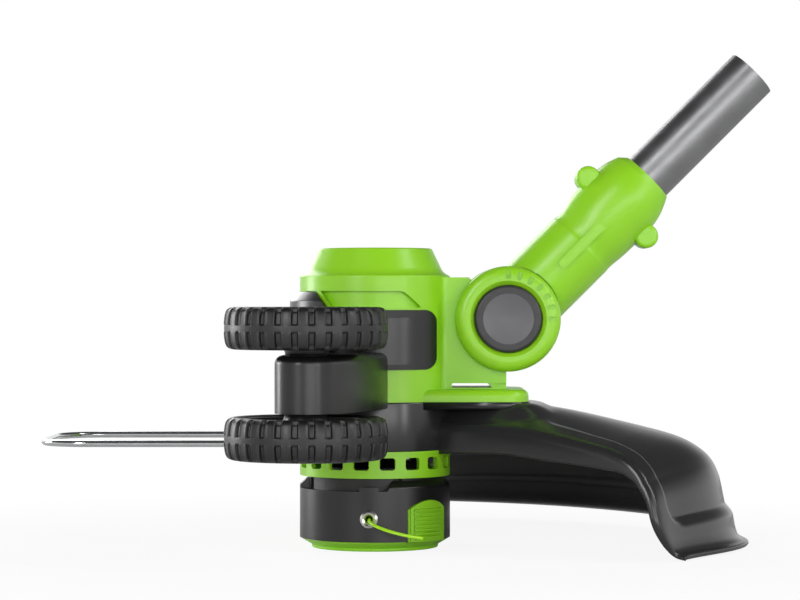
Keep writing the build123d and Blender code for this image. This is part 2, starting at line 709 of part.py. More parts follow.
def latch_window(gap):
    """Sector of the spool wall that a latch fills."""
    half = LATCH_HALF_SPAN + degrees(gap / HEAD_R)
    side = sin(radians(half)) * (HEAD_R + 3)
    arch = ThreePointArc((side, LATCH_SHOULDER_Z + gap), (0, LATCH_TOP_Z + gap),
                         (-side, LATCH_SHOULDER_Z + gap))
    sides = Polyline((-side, LATCH_SHOULDER_Z + gap), (-side, 0), (side, 0), (side, LATCH_SHOULDER_Z + gap))
    return extrude(Plane.YZ * make_face([arch, sides]), HEAD_R + 5)


def spool_housing():
    """Black drum round the spool, open below, with a bayonet notch in its top rim."""
    inner = HEAD_R - SPOOL_WALL
    web_low = WEB_TOP_Z - WEB_THICK
    rim_in = DRIVER_R + SEAT
    points = [(7 + SEAT, web_low), (inner, web_low), (inner, CAP_TOP_Z), (HEAD_R, CAP_TOP_Z),
              (HEAD_R, SPOOL_TOP_Z - 3.0), (HEAD_R - 3.5, SPOOL_TOP_Z), (rim_in, SPOOL_TOP_Z),
              (rim_in, WEB_TOP_Z), (7 + SEAT, WEB_TOP_Z)]
    drum = spun(points, [0, 0, 0, 0, 0.6, 0.4, 0, 0, 0])
    # the rim is cut down over the front left quarter, ending in a slant
    notch = side_slab([(-60, WEB_TOP_Z), (6.5, WEB_TOP_Z), (11.5, 40), (-60, 40)], 0, -60, -6)
    drum -= notch
    # raised tab over the line outlet
    tab = ring(HEAD_R + 0.5, HEAD_R - 1, 23.5, WEB_TOP_Z + 2.1) & block(-7.3, 2.1, -60, 0, 0, 60)
    tab -= cross_rod(8.5, -60, 0, eyelet_x(), EYELET_Z)
    drum += tab
    for side in (0, 180):
        drum -= at_angle(LATCH_ANGLE + side, latch_window(SLIDING) & rod(HEAD_R + 2, CAP_TOP_Z - 1, 60))
    drum -= at_angle(EYELET_ANGLE, Pos(0, 0, EYELET_Z) * Rot(0, 90, 0) * extrude(Circle(EYELET_NECK_R), 60))
    return drum


def eyelet_x():
    """X of the line outlet on the drum's surface."""
    return HEAD_R * cos(radians(EYELET_ANGLE))


def line_eyelet():
    """Bright metal eyelet that the line runs out of."""
    inner = HEAD_R - SPOOL_WALL
    points = [(1.7, inner - 0.4), (EYELET_NECK_R, inner - 0.4), (EYELET_NECK_R, HEAD_R + 0.25),
              (4.3, HEAD_R + 0.25), (4.3, HEAD_R + 0.9), (3.3, HEAD_R + 1.3), (2.3, HEAD_R + 1.0),
              (1.7, HEAD_R + 0.2)]
    bush = spun(points)
    return at_angle(EYELET_ANGLE, Pos(0, 0, EYELET_Z) * Rot(0, 90, 0) * bush)


def spool_cap():
    """Green cap: bevelled rim below, a ring that plugs into the drum, and a centre post."""
    bevel_r = HEAD_R - 6
    plug = HEAD_R - SPOOL_WALL - SEAT
    points = [(0, 0), (bevel_r, 0), (bevel_r, CAP_LIP_Z), (HEAD_R, CAP_TOP_Z), (plug, CAP_TOP_Z),
              (plug, CAP_TOP_Z + 3), (plug - 1.8, CAP_TOP_Z + 3), (plug - 1.8, 3.0), (9, 3.0), (9, 14),
              (7, 14), (7, 2.5), (0, 2.5)]
    cap = spun(points, [0, 0.6, 0, 0.4, 0, 0, 0, 0, 0, 0, 0, 0, 0])
    for side in (0, 180):
        gap = latch_window(SLIDING) & rod(HEAD_R + 5, CAP_TOP_Z - 0.6, 60)
        cap -= at_angle(LATCH_ANGLE + side, gap)
    return cap


def spool_latch(angle):
    """Ribbed finger of the cap that presses inward to free it."""
    back = HEAD_R - SPOOL_WALL + 0.2
    plate = ring(HEAD_R + 0.3, back, CAP_TOP_Z - 0.3, 60) & latch_window(0)
    ribs = []
    pitch = (LATCH_SHOULDER_Z - CAP_TOP_Z) / LATCH_RIBS
    for i in range(LATCH_RIBS):
        z = CAP_TOP_Z + 1.2 + pitch * i
        rib = ring(HEAD_R + LATCH_RIB_H, HEAD_R, z, z + pitch * 0.5)
        ribs.append(rib & at_wedge(LATCH_HALF_SPAN - 3.5))
    frame = ring(HEAD_R + LATCH_RIB_H, HEAD_R, CAP_TOP_Z, 60) & latch_window(0)
    frame -= at_wedge(LATCH_HALF_SPAN - 2.2) & rod(HEAD_R + 5, 0, LATCH_SHOULDER_Z + 0.6)
    for rib in ribs:
        plate += rib
    plate += frame & at_wedge(LATCH_HALF_SPAN)
    return at_angle(angle, plate)


def at_wedge(half_angle):
    """Wedge of space about the +X axis."""
    reach = 80
    side = reach * tan(radians(half_angle))
    return plan_slab([(0, 0), (reach, -side), (reach, side)], 0, -1, 60)


def line_spool():
    """Spool that the line is wound on."""
    z0, z1 = CAP_TOP_Z + 1.0, WEB_TOP_Z - WEB_THICK - 0.6
    core_in = SPOOL_CORE_R - 2
    points = [(core_in, z0), (SPOOL_R, z0), (SPOOL_R, z0 + 1.6), (SPOOL_CORE_R, z0 + 1.6),
              (SPOOL_CORE_R, z1 - 1.6), (SPOOL_R, z1 - 1.6), (SPOOL_R, z1), (core_in, z1)]
    return spun(points)


def line_winding():
    """Wound line as one body, its outside ridged by the turns."""
    z0, z1 = CAP_TOP_Z + 2.6, WEB_TOP_Z - WEB_THICK - 2.2
    turns = int((z1 - z0) / (4 * LINE_R))
    pitch = (z1 - z0) / turns
    coil_r = 26.0
    points = [(SPOOL_CORE_R, z1), (SPOOL_CORE_R, z0)]
    for i in range(turns):
        points.append((coil_r - LINE_R, z0 + pitch * i))
        points.append((coil_r, z0 + pitch * (i + 0.5)))
    points.append((coil_r - LINE_R, z1))
    return spun(points)


def coil(radius, wire, z0, z1, turns):
    """Compression spring about the vertical axis, its wire drawn with six sides."""
    pitch = (z1 - z0 - 2 * wire) / turns
    path = Pos(0, 0, z0 + wire) * Helix(pitch, pitch * turns, radius)
    section = Plane(path @ 0, z_dir=path % 0) * RegularPolygon(wire, 6)
    return sweep(section, path)


def spool_spring():
    """Spring in the spool's core, between the cap and the web."""
    return coil(10.8, 0.8, 3.05, WEB_TOP_Z - WEB_THICK - 0.05, 5)


# the free end of the cutting line, from the winding out through the eyelet


def corner_radii(points, least):
    """Largest round corner that each point of a route allows."""
    radii = []
    for a, b, c in zip(points, points[1:], points[2:]):
        first = Vector(*b) - Vector(*a)
        second = Vector(*c) - Vector(*b)
        turn = radians(first.get_angle(second))
        radius = 0.45 * min(first.length, second.length) / tan(turn / 2)
        radii.append(radius)
        print("cutting line corner radius", round(radius, 2), "turn", round(degrees(turn), 1))
        if radius < least:
            print("cutting line corner tighter than", least)
    return radii


def cutting_line():
    """Free end of the line: straight runs joined by tangent arcs."""
    radii = corner_radii(CUTTING_LINE_POINTS, 5 * 2 * LINE_R)
    path = FilletPolyline(*CUTTING_LINE_POINTS, radius=radii)
    section = Plane(path @ 0, z_dir=path % 0) * Circle(LINE_R)
    line = sweep(section, path)
    print("cutting line length", round(path.length, 2), "volume over section times length",
          round(line.volume / (pi * LINE_R ** 2 * path.length), 4))
    return line


# ---------------------------------------------------------------- edging wheels and bracket
def wheel_bracket():
    """Band round the front of the housing with an arm out to the wheel axle."""
    band_in = HEAD_R - BAND_DEPTH + SLIDING / 2
    band_out = HEAD_R + 0.6
    band = ring(band_out, band_in, BAND_BOTTOM_Z, BUMP_TOP_Z)
    near = side_slab(band_outline(BAND_NEAR_X, 0), [0, 6, 6, 0], -60, 0)
    far = side_slab(band_outline(BAND_FAR_X, 0), [0, 6, 6, 0], 0, 60)
    band = band & (near + far)
    # upper and lower ledges leave the drum on a tangent, towards the arm
    turn = radians(LEDGE_ANGLE)
    start = (band_out * cos(turn), -band_out * sin(turn))
    reach = start[0] - LEDGE_END_X
    low_y = start[1] - reach / tan(turn)
    ledge = [start, (LEDGE_END_X, low_y), (-30, low_y), (-30, -20), (10, -20)]
    ledges = plan_slab(ledge, 0, BAND_BOTTOM_Z, BAND_BOTTOM_Z + LOWER_LEDGE)
    ledges += plan_slab(ledge, 0, BAND_TOP_Z - UPPER_LEDGE, BAND_TOP_Z)
    front_r = HEAD_R + 5
    front = spun([(band_in, BAND_BOTTOM_Z), (front_r, BAND_BOTTOM_Z), (front_r, BUMP_TOP_Z - 4.5),
                  (HEAD_R + 1, BUMP_TOP_Z), (band_in, BUMP_TOP_Z)], [0, 0, 1, 1, 0])
    front = front & side_slab(bump_outline(0), [0, 0, 4, 3, 0], -60, BUMP_END_Y)
    # plan of the arm: straight on the left, bowed on the right, round at the axle
    left = front_r
    root_y = -30.0
    bow = ThreePointArc((ARM_END_X, root_y - 12), (-2.3, -76.6), (-18.9, -108.2))
    sides = Polyline((-18.9, -108.2), (WHEEL_X - ARM_R, WHEEL_Y), (-left - 0.6, root_y),
                     (-left + 6, root_y + 25),
                     (0, root_y + 25), (ARM_END_X, root_y), (ARM_END_X, root_y - 12))
    arm = Pos(0, 0, ARM_BOTTOM_Z) * extrude(make_face([bow, sides]), ARM_TOP_Z - ARM_BOTTOM_Z)
    arm += rod(ARM_R, ARM_BOTTOM_Z, ARM_TOP_Z, WHEEL_X, WHEEL_Y)
    # hollow from below, leaving the axle boss and one rib
    hollow = [(WHEEL_X - ARM_R + 3, WHEEL_Y + 2), (-left + 3, root_y), (ARM_END_X - 4, root_y),
              (ARM_END_X - 4, root_y - 12), (-6.5, -75), (WHEEL_X + ARM_R - 3, WHEEL_Y + 2)]
    pocket = plan_slab(hollow, 2, ARM_BOTTOM_Z - 1, ARM_TOP_Z - 4)
    pocket -= rod(AXLE_R + 4.5, 0, 200, WHEEL_X, WHEEL_Y)
    pocket -= block(-60, 20, WHEEL_Y + 32, WHEEL_Y + 34.5, 0, 200)
    arm = fillet(arm.edges().filter_by_position(Axis.Z, ARM_TOP_Z - 0.1, ARM_TOP_Z + 0.1), ARM_ROUND)
    arm -= pocket
    arm -= rod(HEAD_R + SLIDING, 0, 200)
    arm -= rod(HEAD_R + 4.5, 0, FLANGE_TOP_Z - 3)
    body = band + ledges + front + arm
    body -= rod(band_in, 0, 200)
    body -= rod(AXLE_R + RUNNING, 0, 200, WHEEL_X, WHEEL_Y)
    for hole in bracket_screw_holes():
        body -= hole
    return body


def bracket_screw_place(z):
    """Seat of a bracket screw on the far end of the band."""
    a = radians(BRACKET_SCREW_ANGLE)
    r = HEAD_R + 0.6
    return Pos(r * cos(a), r * sin(a), z) * Rot(0, 0, BRACKET_SCREW_ANGLE) * Rot(0, 90, 0)


def bracket_screw_holes():
    """Clearance holes through the band and the housing wall."""
    bore = Pos(0, 0, -9) * extrude(Circle(SCREW_R + SCREW_GAP), 14)
    return [bracket_screw_place(z) * bore for z in BRACKET_SCREW_Z]


def bracket_screws():
    """Two screws that hold the band to the far half."""
    return solids_of([bracket_screw_place(z) * screw(8.0) for z in BRACKET_SCREW_Z])


def wheel_axle():
    """Steel axle through both wheels and the arm, grooved at its ends for the clips."""
    z0, z1 = CLIP_LOW_Z - 1.2, CLIP_HIGH_Z + CLIP_THICK + 1.2
    pin = rod(AXLE_R, z0, z1, WHEEL_X, WHEEL_Y)
    pin = chamfer(pin.edges().filter_by(GeomType.CIRCLE), 0.6)
    for z in (CLIP_LOW_Z, CLIP_HIGH_Z):
        pin -= ring(AXLE_R + 1, AXLE_R - GROOVE_DEPTH, z, z + CLIP_THICK, WHEEL_X, WHEEL_Y)
    return pin


def axle_clips():
    """Spring clips in the axle's end grooves."""
    made = []
    for z in (CLIP_LOW_Z, CLIP_HIGH_Z):
        clip = ring(AXLE_R + 2.8, AXLE_R - GROOVE_DEPTH, z, z + CLIP_THICK, WHEEL_X, WHEEL_Y)
        clip -= block(WHEEL_X, WHEEL_X + 10, WHEEL_Y - 2, WHEEL_Y + 2, z - 1, z + 2)
        made.append(clip)
    return solids_of(made)


def wheel_spacers():
    """Flanged washers between the arm and each wheel."""
    made = []
    low = LOWER_WHEEL_Z + WHEEL_W - HUB_INSET + SLIDING
    high = UPPER_WHEEL_Z + HUB_INSET - SLIDING
    for hub_z, arm_z in ((low, ARM_BOTTOM_Z), (high, ARM_TOP_Z)):
        points = [(AXLE_R + SEAT, arm_z), (HUB_FLANGE_R - 2, arm_z), (HUB_FLANGE_R, hub_z),
                  (AXLE_R + SEAT, hub_z)]
        made.append(spun(points, x=WHEEL_X, y=WHEEL_Y))
    return solids_of(made)


def wheel_tyre(z0):
    """Rubber tread with two rows of notches."""
    r = WHEEL_R
    seat = TYRE_SEAT_R
    points = [(seat, z0 + 1.2), (r - 5, z0), (r - 1.4, z0 + 1.5), (r, z0 + WHEEL_W / 2),
              (r - 1.4, z0 + WHEEL_W - 1.5),
              (r - 5, z0 + WHEEL_W), (seat, z0 + WHEEL_W - 1.2)]
    tyre = spun(points, [0, 1.5, 3.5, 40, 3.5, 1.5, 0], WHEEL_X, WHEEL_Y)
    reach = NOTCH_DEPTH + 3
    cuts = []
    for low in (z0 + NOTCH_INSET, z0 + WHEEL_W - NOTCH_INSET - NOTCH_L):
        notch = block(r - NOTCH_DEPTH - 0.35, r + reach, -NOTCH_W / 2, NOTCH_W / 2, low, low + NOTCH_L)
        cuts += [Pos(WHEEL_X, WHEEL_Y, 0) * one for one in around(notch, TREAD_NOTCHES)]
    return tyre - cuts


def wheel_hub(z0):
    """Plastic wheel centre: rim, web with holes, and a raised hub."""
    mid = z0 + WHEEL_W / 2
    rim = ring(TYRE_SEAT_R, TYRE_SEAT_R - 2.5, z0 + 1.2, z0 + WHEEL_W - 1.2, WHEEL_X, WHEEL_Y)
    web = ring(TYRE_SEAT_R - 1, AXLE_R + 3, mid - 1.5, mid + 1.5, WHEEL_X, WHEEL_Y)
    boss = ring(HUB_FLANGE_R, HUB_BORE_R, z0 + HUB_INSET, z0 + WHEEL_W - HUB_INSET, WHEEL_X, WHEEL_Y)
    ribs = []
    for rib in around(block(HUB_FLANGE_R - 1, TYRE_SEAT_R - 1, -1, 1, z0 + 5, z0 + WHEEL_W - 5), 6):
        ribs.append(Pos(WHEEL_X, WHEEL_Y, 0) * rib)
    hub = rim + web + boss
    for rib in ribs:
        hub += rib
    return hub


def wheel_bush(z0):
    """Plain bush between the axle and the hub."""
    return ring(HUB_BORE_R, AXLE_R + RUNNING, z0 + HUB_INSET, z0 + WHEEL_W - HUB_INSET, WHEEL_X, WHEEL_Y)


# ---------------------------------------------------------------- line guard


def edge_drop(angle):
    """How far the guard's top falls at an angle, towards its two radial edges."""
    span = 34.0
    near = max(0.0, GUARD_START_DEG + span - angle) / span
    far = max(0.0, angle - GUARD_END_DEG + span) / span
    return GUARD_EDGE_DROP * (near ** 1.6 + 0.8 * far ** 1.6)


def hem_height(angle):
    """Height of the skirt's lower edge: on the ground behind, lifted at the far side."""
    lift = max(0.0, angle - 5.0)
    return min(9.0, 6.0 * lift / 32.0) if lift < 32.0 else 6.0 + 3.0 * (lift - 32.0) / 51.0


def near_pull(angle, radius):
    """Share of a radius that is left where the skirt is drawn in towards its near edge."""
    ease = (1 - cos(pi * min(1.0, max(0.0, -angle) / PULL_SPAN_DEG))) / 2
    outer = min(1.0, max(0.0, (radius - PULL_FROM_R) / (PULL_FULL_R - PULL_FROM_R)))
    return 1 - NEAR_PULL * ease * outer


def guard_point(radius, height, angle):
    """Radius and height of one profile point at an angle."""
    weight = min(1.0, height / 55.0)
    hem = hem_height(angle)
    pulled = radius * near_pull(angle, radius)
    return (pulled, max(hem, hem + height * (1 - hem / 72.0)) - edge_drop(angle) * weight)


def offset_curve(points, distances):
    """Points moved sideways, each by its own distance to the left of the direction of travel."""
    moved = []
    for i, (x, z) in enumerate(points):
        before = points[max(0, i - 1)]
        after = points[min(len(points) - 1, i + 1)]
        dx, dz = after[0] - before[0], after[1] - before[1]
        size = sqrt(dx * dx + dz * dz)
        moved.append((x - dz / size * distances[i], z + dx / size * distances[i]))
    return moved


def wall_face(angle, points, below, above):
    """Closed face at an angle between two offsets of a line of (radius, height) points."""
    low = offset_curve(points, below)
    high = offset_curve(points, above)
    ends = [Line(low[0], high[0]), Line(high[-1], low[-1])]
    face = make_face([Spline(*high), Spline(*low)] + ends)
    return Plane((0, 0, 0), x_dir=(cos(radians(angle)), sin(radians(angle)), 0),
                 z_dir=(sin(radians(angle)), -cos(radians(angle)), 0)) * face


def guard_section(angle, below, above, first, last):
    """Face of the guard's wall at an angle, between two even offsets of the profile."""
    points = [guard_point(r, z, angle) for r, z in GUARD_PROFILE[first:last]]
    return wall_face(angle, points, [below] * len(points), [above] * len(points))


def edge_depth(radius, stops):
    """Depth of an edge flange at a radius, from its (radius, depth) stops."""
    for (r0, d0), (r1, d1) in zip(stops, stops[1:]):
        if radius <= r1:
            return d0 + (d1 - d0) * max(0.0, radius - r0) / (r1 - r0)
    return stops[-1][1]


def edge_section(angle, stops):
    """Face of an edge flange under the guard's wall."""
    points = [guard_point(r, z, angle) for r, z in GUARD_PROFILE]
    return wall_face(angle, points, [-edge_depth(r, stops) for r, z in points], [-1.0] * len(points))


def guard_angles(start, end, steps):
    """Evenly spaced section angles."""
    return [start + (end - start) * i / steps for i in range(steps + 1)]


def edge_normal(angle, side):
    """Direction square to the section at an angle; side 1 turns with the angle, -1 against it."""
    a = radians(angle)
    return Vector(-sin(a) * side, cos(a) * side, 0)


def lip_section(angle):
    """Section of the lip that sticks out from the foot of the skirt."""
    hem = hem_height(angle)
    a = radians(angle)
    outer = GUARD_R * near_pull(angle, GUARD_R)
    edge = FilletPolyline((outer - LIP_REACH, hem), (outer, hem), (outer, hem + LIP_H),
                          (outer - LIP_REACH, hem + LIP_H), radius=0, close=True)
    return Plane((0, 0, 0), x_dir=(cos(a), sin(a), 0), z_dir=(sin(a), -cos(a), 0)) * make_face(edge)


def guard():
    """Fan-shaped line guard with a hub collar, a sunk panel, edge flanges and a ground lip."""
    angles = guard_angles(GUARD_START_DEG, GUARD_END_DEG, 12)
    shell = loft([guard_section(a, -GUARD_WALL, 0.0, 0, None) for a in angles])
    # the middle of the fan is sunk below its rim, wall and all
    inner = guard_angles(GUARD_START_DEG + PANEL_MARGIN_DEG, GUARD_END_DEG - PANEL_MARGIN_DEG, 10)
    outer = guard_angles(GUARD_START_DEG + PANEL_MARGIN_DEG / 2, GUARD_END_DEG - PANEL_MARGIN_DEG / 2, 10)
    shell += loft([guard_section(a, -GUARD_WALL - PANEL_DEPTH, -1.0, 1, None) for a in outer])
    shell -= loft([guard_section(a, -PANEL_DEPTH, 4.0, 2, -1) for a in inner])
    # stiffening flanges under both radial edges
    for angle, side, stops in ((GUARD_START_DEG, 1, NEAR_EDGE), (GUARD_END_DEG, -1, FAR_EDGE)):
        shell += extrude(edge_section(angle, stops), GUARD_WALL, dir=edge_normal(angle, side))
    # lip along the skirt's hem, carried round the near corner and up its edge
    shell += loft([lip_section(a) for a in angles])
    foot_r = GUARD_FOOT_R * near_pull(GUARD_START_DEG, GUARD_FOOT_R)
    corner_deg = GUARD_START_DEG + degrees(GUARD_CORNER_R / foot_r)
    shell -= at_angle(corner_deg, corner_waste())
    shell += at_angle(corner_deg, corner_lip(GUARD_R * near_pull(corner_deg, GUARD_R)))
    collar = ring(SPIGOT_R + SEAT + COLLAR_WALL, SPIGOT_R + SEAT, VENT_TOP_Z, FLANGE_BOTTOM_Z)
    plate = plan_slab(flange_outline(-1.0), [0, FLANGE_CORNER_R, FLANGE_CORNER_R, 0],
                      FLANGE_BOTTOM_Z - BOSS_H, FLANGE_BOTTOM_Z)
    body = shell + collar + plate
    body -= rod(SPIGOT_R + SEAT, 0, 200)
    body -= rod(HEAD_R + 0.6 + SLIDING, 0, VENT_TOP_Z)
    body -= block(-300, 300, -300, 300, FLANGE_BOTTOM_Z, 200)
    body -= block(-300, 300, -300, 300, -50, 0)
    for x, y in GUARD_SCREW_XY:
        body -= rod(SCREW_R + SCREW_GAP, 0, 100, x, y)
        body -= rod(SCREW_HEAD_R + 0.5, 0, FLANGE_BOTTOM_Z - 3, x, y)
    for y in CLIP_SCREW_Y:
        body -= Pos(-50, y, CLIP_SCREW_Z) * Rot(0, 90, 0) * extrude(Circle(SCREW_R + SCREW_GAP), 30)
    for z in CUTTER_SCREW_Z:
        body -= cutter_place() * cross_rod(SCREW_R + SCREW_GAP, -5, 5, CUTTER_R + 2.2, z)
    return biggest(body)


def corner_round(radius):
    """Cylinder about the radial line through the centre of the skirt's round corner."""
    return Pos(0, 0, GUARD_CORNER_R) * Rot(0, 90, 0) * Cylinder(radius, 400)


def corner_waste():
    """What the round lower corner takes off the skirt, on the +X side."""
    return block(140, 200, -2 * GUARD_CORNER_R, 0, -1, GUARD_CORNER_R) - corner_round(GUARD_CORNER_R)


def corner_lip(outer):
    """Lip round the skirt's near corner, fading with height, on the +X side."""
    foot = outer - LIP_REACH
    fade = spun([(foot - 1, 0), (outer, 0), (outer, LIP_H), (foot - 2.5, GUARD_CORNER_R),
                 (foot - 7, GUARD_CORNER_R)])
    bend = corner_round(GUARD_CORNER_R) - corner_round(GUARD_CORNER_R - LIP_H)
    return fade & bend & block(140, 200, -GUARD_CORNER_R, 0, 0, GUARD_CORNER_R)


def guard_screws():
    """Screws up through the guard's plate into the housing flange."""
    places = [Pos(x, y, FLANGE_BOTTOM_Z - 3) * Rot(180, 0, 0) for x, y in GUARD_SCREW_XY]
    return solids_of([place * screw(7.5) for place in places])


def plant_guard_clip():
    """Hinge block for the plant guard, with a pad that is screwed to the front of the collar."""
    x0 = WIRE_HINGE_X - 4.2
    low = WIRE_Z - 4.2
    body = side_slab([(x0, low), (-25, low), (-25, CLIP_TOP_Z), (CLIP_PAD_X, CLIP_TOP_Z),
                      (CLIP_PAD_X, WIRE_Z + 5.0),
                      (x0, WIRE_Z + 4.2)], [3.5, 0, 0, 2, 1, 3.5], -CLIP_HALF_W, CLIP_HALF_W)
    body -= rod(SPIGOT_R + SEAT + COLLAR_WALL, 0, 200)
    for y0, y1 in ((-CLIP_HALF_W - 1, -CLIP_HALF_W + WIRE_GRIP), (CLIP_HALF_W - WIRE_GRIP, CLIP_HALF_W + 1)):
        body -= cross_rod(WIRE_R + RUNNING, y0, y1, WIRE_HINGE_X, WIRE_Z)
    bore = Rot(0, 90, 0) * extrude(Circle(SCREW_R + CLIP_SCREW_GAP), 30)
    for y in CLIP_SCREW_Y:
        body -= Pos(CLIP_PAD_X - 1, y, CLIP_SCREW_Z) * bore
    return biggest(body)


def clip_screws():
    """Two screws through the clip's pad into the collar."""
    places = [Pos(CLIP_PAD_X, y, CLIP_SCREW_Z) * Rot(0, -90, 0) for y in CLIP_SCREW_Y]
    return solids_of([place * screw(CLIP_SCREW_LENGTH) for place in places])


def plant_guard_wire():
    """Bent steel wire loop that keeps plants off the line."""
    end = CLIP_HALF_W - WIRE_GRIP + 0.5
    points = [(WIRE_HINGE_X, end, WIRE_Z), (WIRE_HINGE_X, WIRE_HALF_W, WIRE_Z),
              (WIRE_TIP_X, WIRE_HALF_W, WIRE_Z),
              (WIRE_TIP_X, -WIRE_HALF_W, WIRE_Z), (WIRE_HINGE_X, -WIRE_HALF_W, WIRE_Z),
              (WIRE_HINGE_X, -end, WIRE_Z)]
    path = FilletPolyline(*points, radius=[5.0, WIRE_CORNER_R, WIRE_CORNER_R, 5.0])
    section = Plane(path @ 0, z_dir=path % 0) * Circle(WIRE_R)
    return sweep(section, path)


def cutter_place():
    """Frame on the inner face of the far edge flange: X outward, Y towards the flange, Z up."""
    a = radians(GUARD_END_DEG)
    inward = edge_normal(GUARD_END_DEG, -1) * (GUARD_WALL + SEAT)
    return Plane(inward, x_dir=(cos(a), sin(a), 0), z_dir=(0, 0, 1))


def line_cutter():
    """Steel blade on the far edge flange that trims the line to the swath."""
    blade = block(CUTTER_R - 6.5, CUTTER_R + 6.0, -CUTTER_THICK, 0, CUTTER_Z, CUTTER_Z + 15)
    bevel = plan_slab([(CUTTER_R - 7.5, 0.5), (CUTTER_R - 7.5, -CUTTER_THICK), (CUTTER_R - 3.5, 0.5)], 0, 0,
                      60)
    blade -= bevel
    for z in CUTTER_SCREW_Z:
        blade -= cross_rod(SCREW_R + SCREW_GAP, -5, 5, CUTTER_R + 2.2, z)
    return cutter_place() * blade


def line_cutter_screws():
    """Two short screws through the blade into the flange."""
    made = [Pos(CUTTER_R + 2.2, -CUTTER_THICK, z) * Rot(90, 0, 0) * screw(3.6) for z in CUTTER_SCREW_Z]
    return cutter_place() * solids_of(made)


# ---------------------------------------------------------------- pivot


def pivot_pin():
    """Shouldered pin through the far ear and the knuckle."""
    y0 = -EAR_FACE_Y + 9
    shank = cross_rod(PIN_R, y0, PIN_HEAD_Y, PIVOT_X, PIVOT_Z)
    head = cross_rod(PIN_HEAD_R, PIN_HEAD_Y, PIN_HEAD_Y + 3.0, PIVOT_X, PIVOT_Z)
    hexagon = Pos(PIVOT_X, PIN_HEAD_Y + 1.5, PIVOT_Z) * Rot(-90, 0, 0) * extrude(RegularPolygon(4.0, 6), 3)
    return shank + head - hexagon


def pivot_cap():
    """Cover over the pin's head on the far ear."""
    y0 = EAR_FACE_Y - PIVOT_CAP_THICK + 0.05
    cap = cross_rod(BUTTON_R - SEAT, y0, EAR_FACE_Y + 0.5, PIVOT_X, PIVOT_Z)
    return fillet(cap.edges().filter_by(GeomType.CIRCLE).sort_by(Axis.Y)[-1], 0.8)


def tilt_button():
    """Round button in the near ear."""
    y0 = -EAR_FACE_Y - 0.5
    disc = cross_rod(BUTTON_R, y0, y0 + BUTTON_THICK, PIVOT_X, PIVOT_Z)
    disc = fillet(disc.edges().filter_by(GeomType.CIRCLE).sort_by(Axis.Y)[0], 1.4)
    # shallow dish inside a raised rim
    ball_r = (DISH_R ** 2 + DISH_DEPTH ** 2) / (2 * DISH_DEPTH)
    disc -= Pos(PIVOT_X, y0 + DISH_DEPTH - ball_r, PIVOT_Z) * Sphere(ball_r)
    stem = cross_ring(9.0, PIN_R + 1.0, y0 + BUTTON_THICK, -EAR_FACE_Y + LOCK_OFFSET, PIVOT_X, PIVOT_Z)
    return disc + stem


def tilt_lock():
    """Splined collar behind the button that slides on the pin."""
    y0 = -EAR_FACE_Y + LOCK_OFFSET
    collar = cross_ring(LOCK_R - 1.5, PIN_R + RUNNING, y0, y0 + LOCK_LENGTH, PIVOT_X, PIVOT_Z)
    tooth = Pos(PIVOT_X, 0, PIVOT_Z)
    for i in range(LOCK_TEETH):
        one = block(LOCK_R - 2, LOCK_R, y0, y0 + LOCK_LENGTH, -1.2, 1.2)
        collar += tooth * Rot(0, 360 / LOCK_TEETH * i, 0) * one
    return collar


def tilt_spring():
    """Spring between the lock and the knuckle's web, pushing the button out."""
    y0 = -EAR_FACE_Y + LOCK_OFFSET + LOCK_LENGTH
    length = KNUCKLE_POCKET_Y - y0 - 0.1
    spring = coil(7.8, 0.7, 0, length, 5)
    return Pos(PIVOT_X, y0 + 0.05, PIVOT_Z) * Rot(-90, 0, 0) * spring


# ---------------------------------------------------------------- sleeve and tube
def disc_at(t, radius, rise):
    """Round section of the sleeve, t along its axis and risen off it."""
    return Plane((t, 0, rise), x_dir=(0, 1, 0), z_dir=(1, 0, 0)) * Circle(radius)


def sleeve_outside():
    """Sleeve outside in its own frame: straight barrel, swollen clamp and tapered end."""
    barrel_end = 52.0
    barrel = long_rod(SLEEVE_R, 0, barrel_end)
    swell = SLEEVE_SWELL_R
    sections = [(barrel_end, SLEEVE_R, 0), (60, SLEEVE_R + 0.35, 0.1), (69, swell - 0.15, 0.6),
                (78, swell, 0.8), (86, swell - 0.4, 0.9),
                (92, swell - 1.8, 1.0), (96.5, swell - 3.6, 1.1)]
    clamp = loft([disc_at(*s) for s in sections])
    end = loft([disc_at(96.5, swell - 3.6, 1.1), disc_at(SLEEVE_LENGTH, TUBE_R + 1.0, 0.2)], ruled=True)
    return barrel + clamp + end


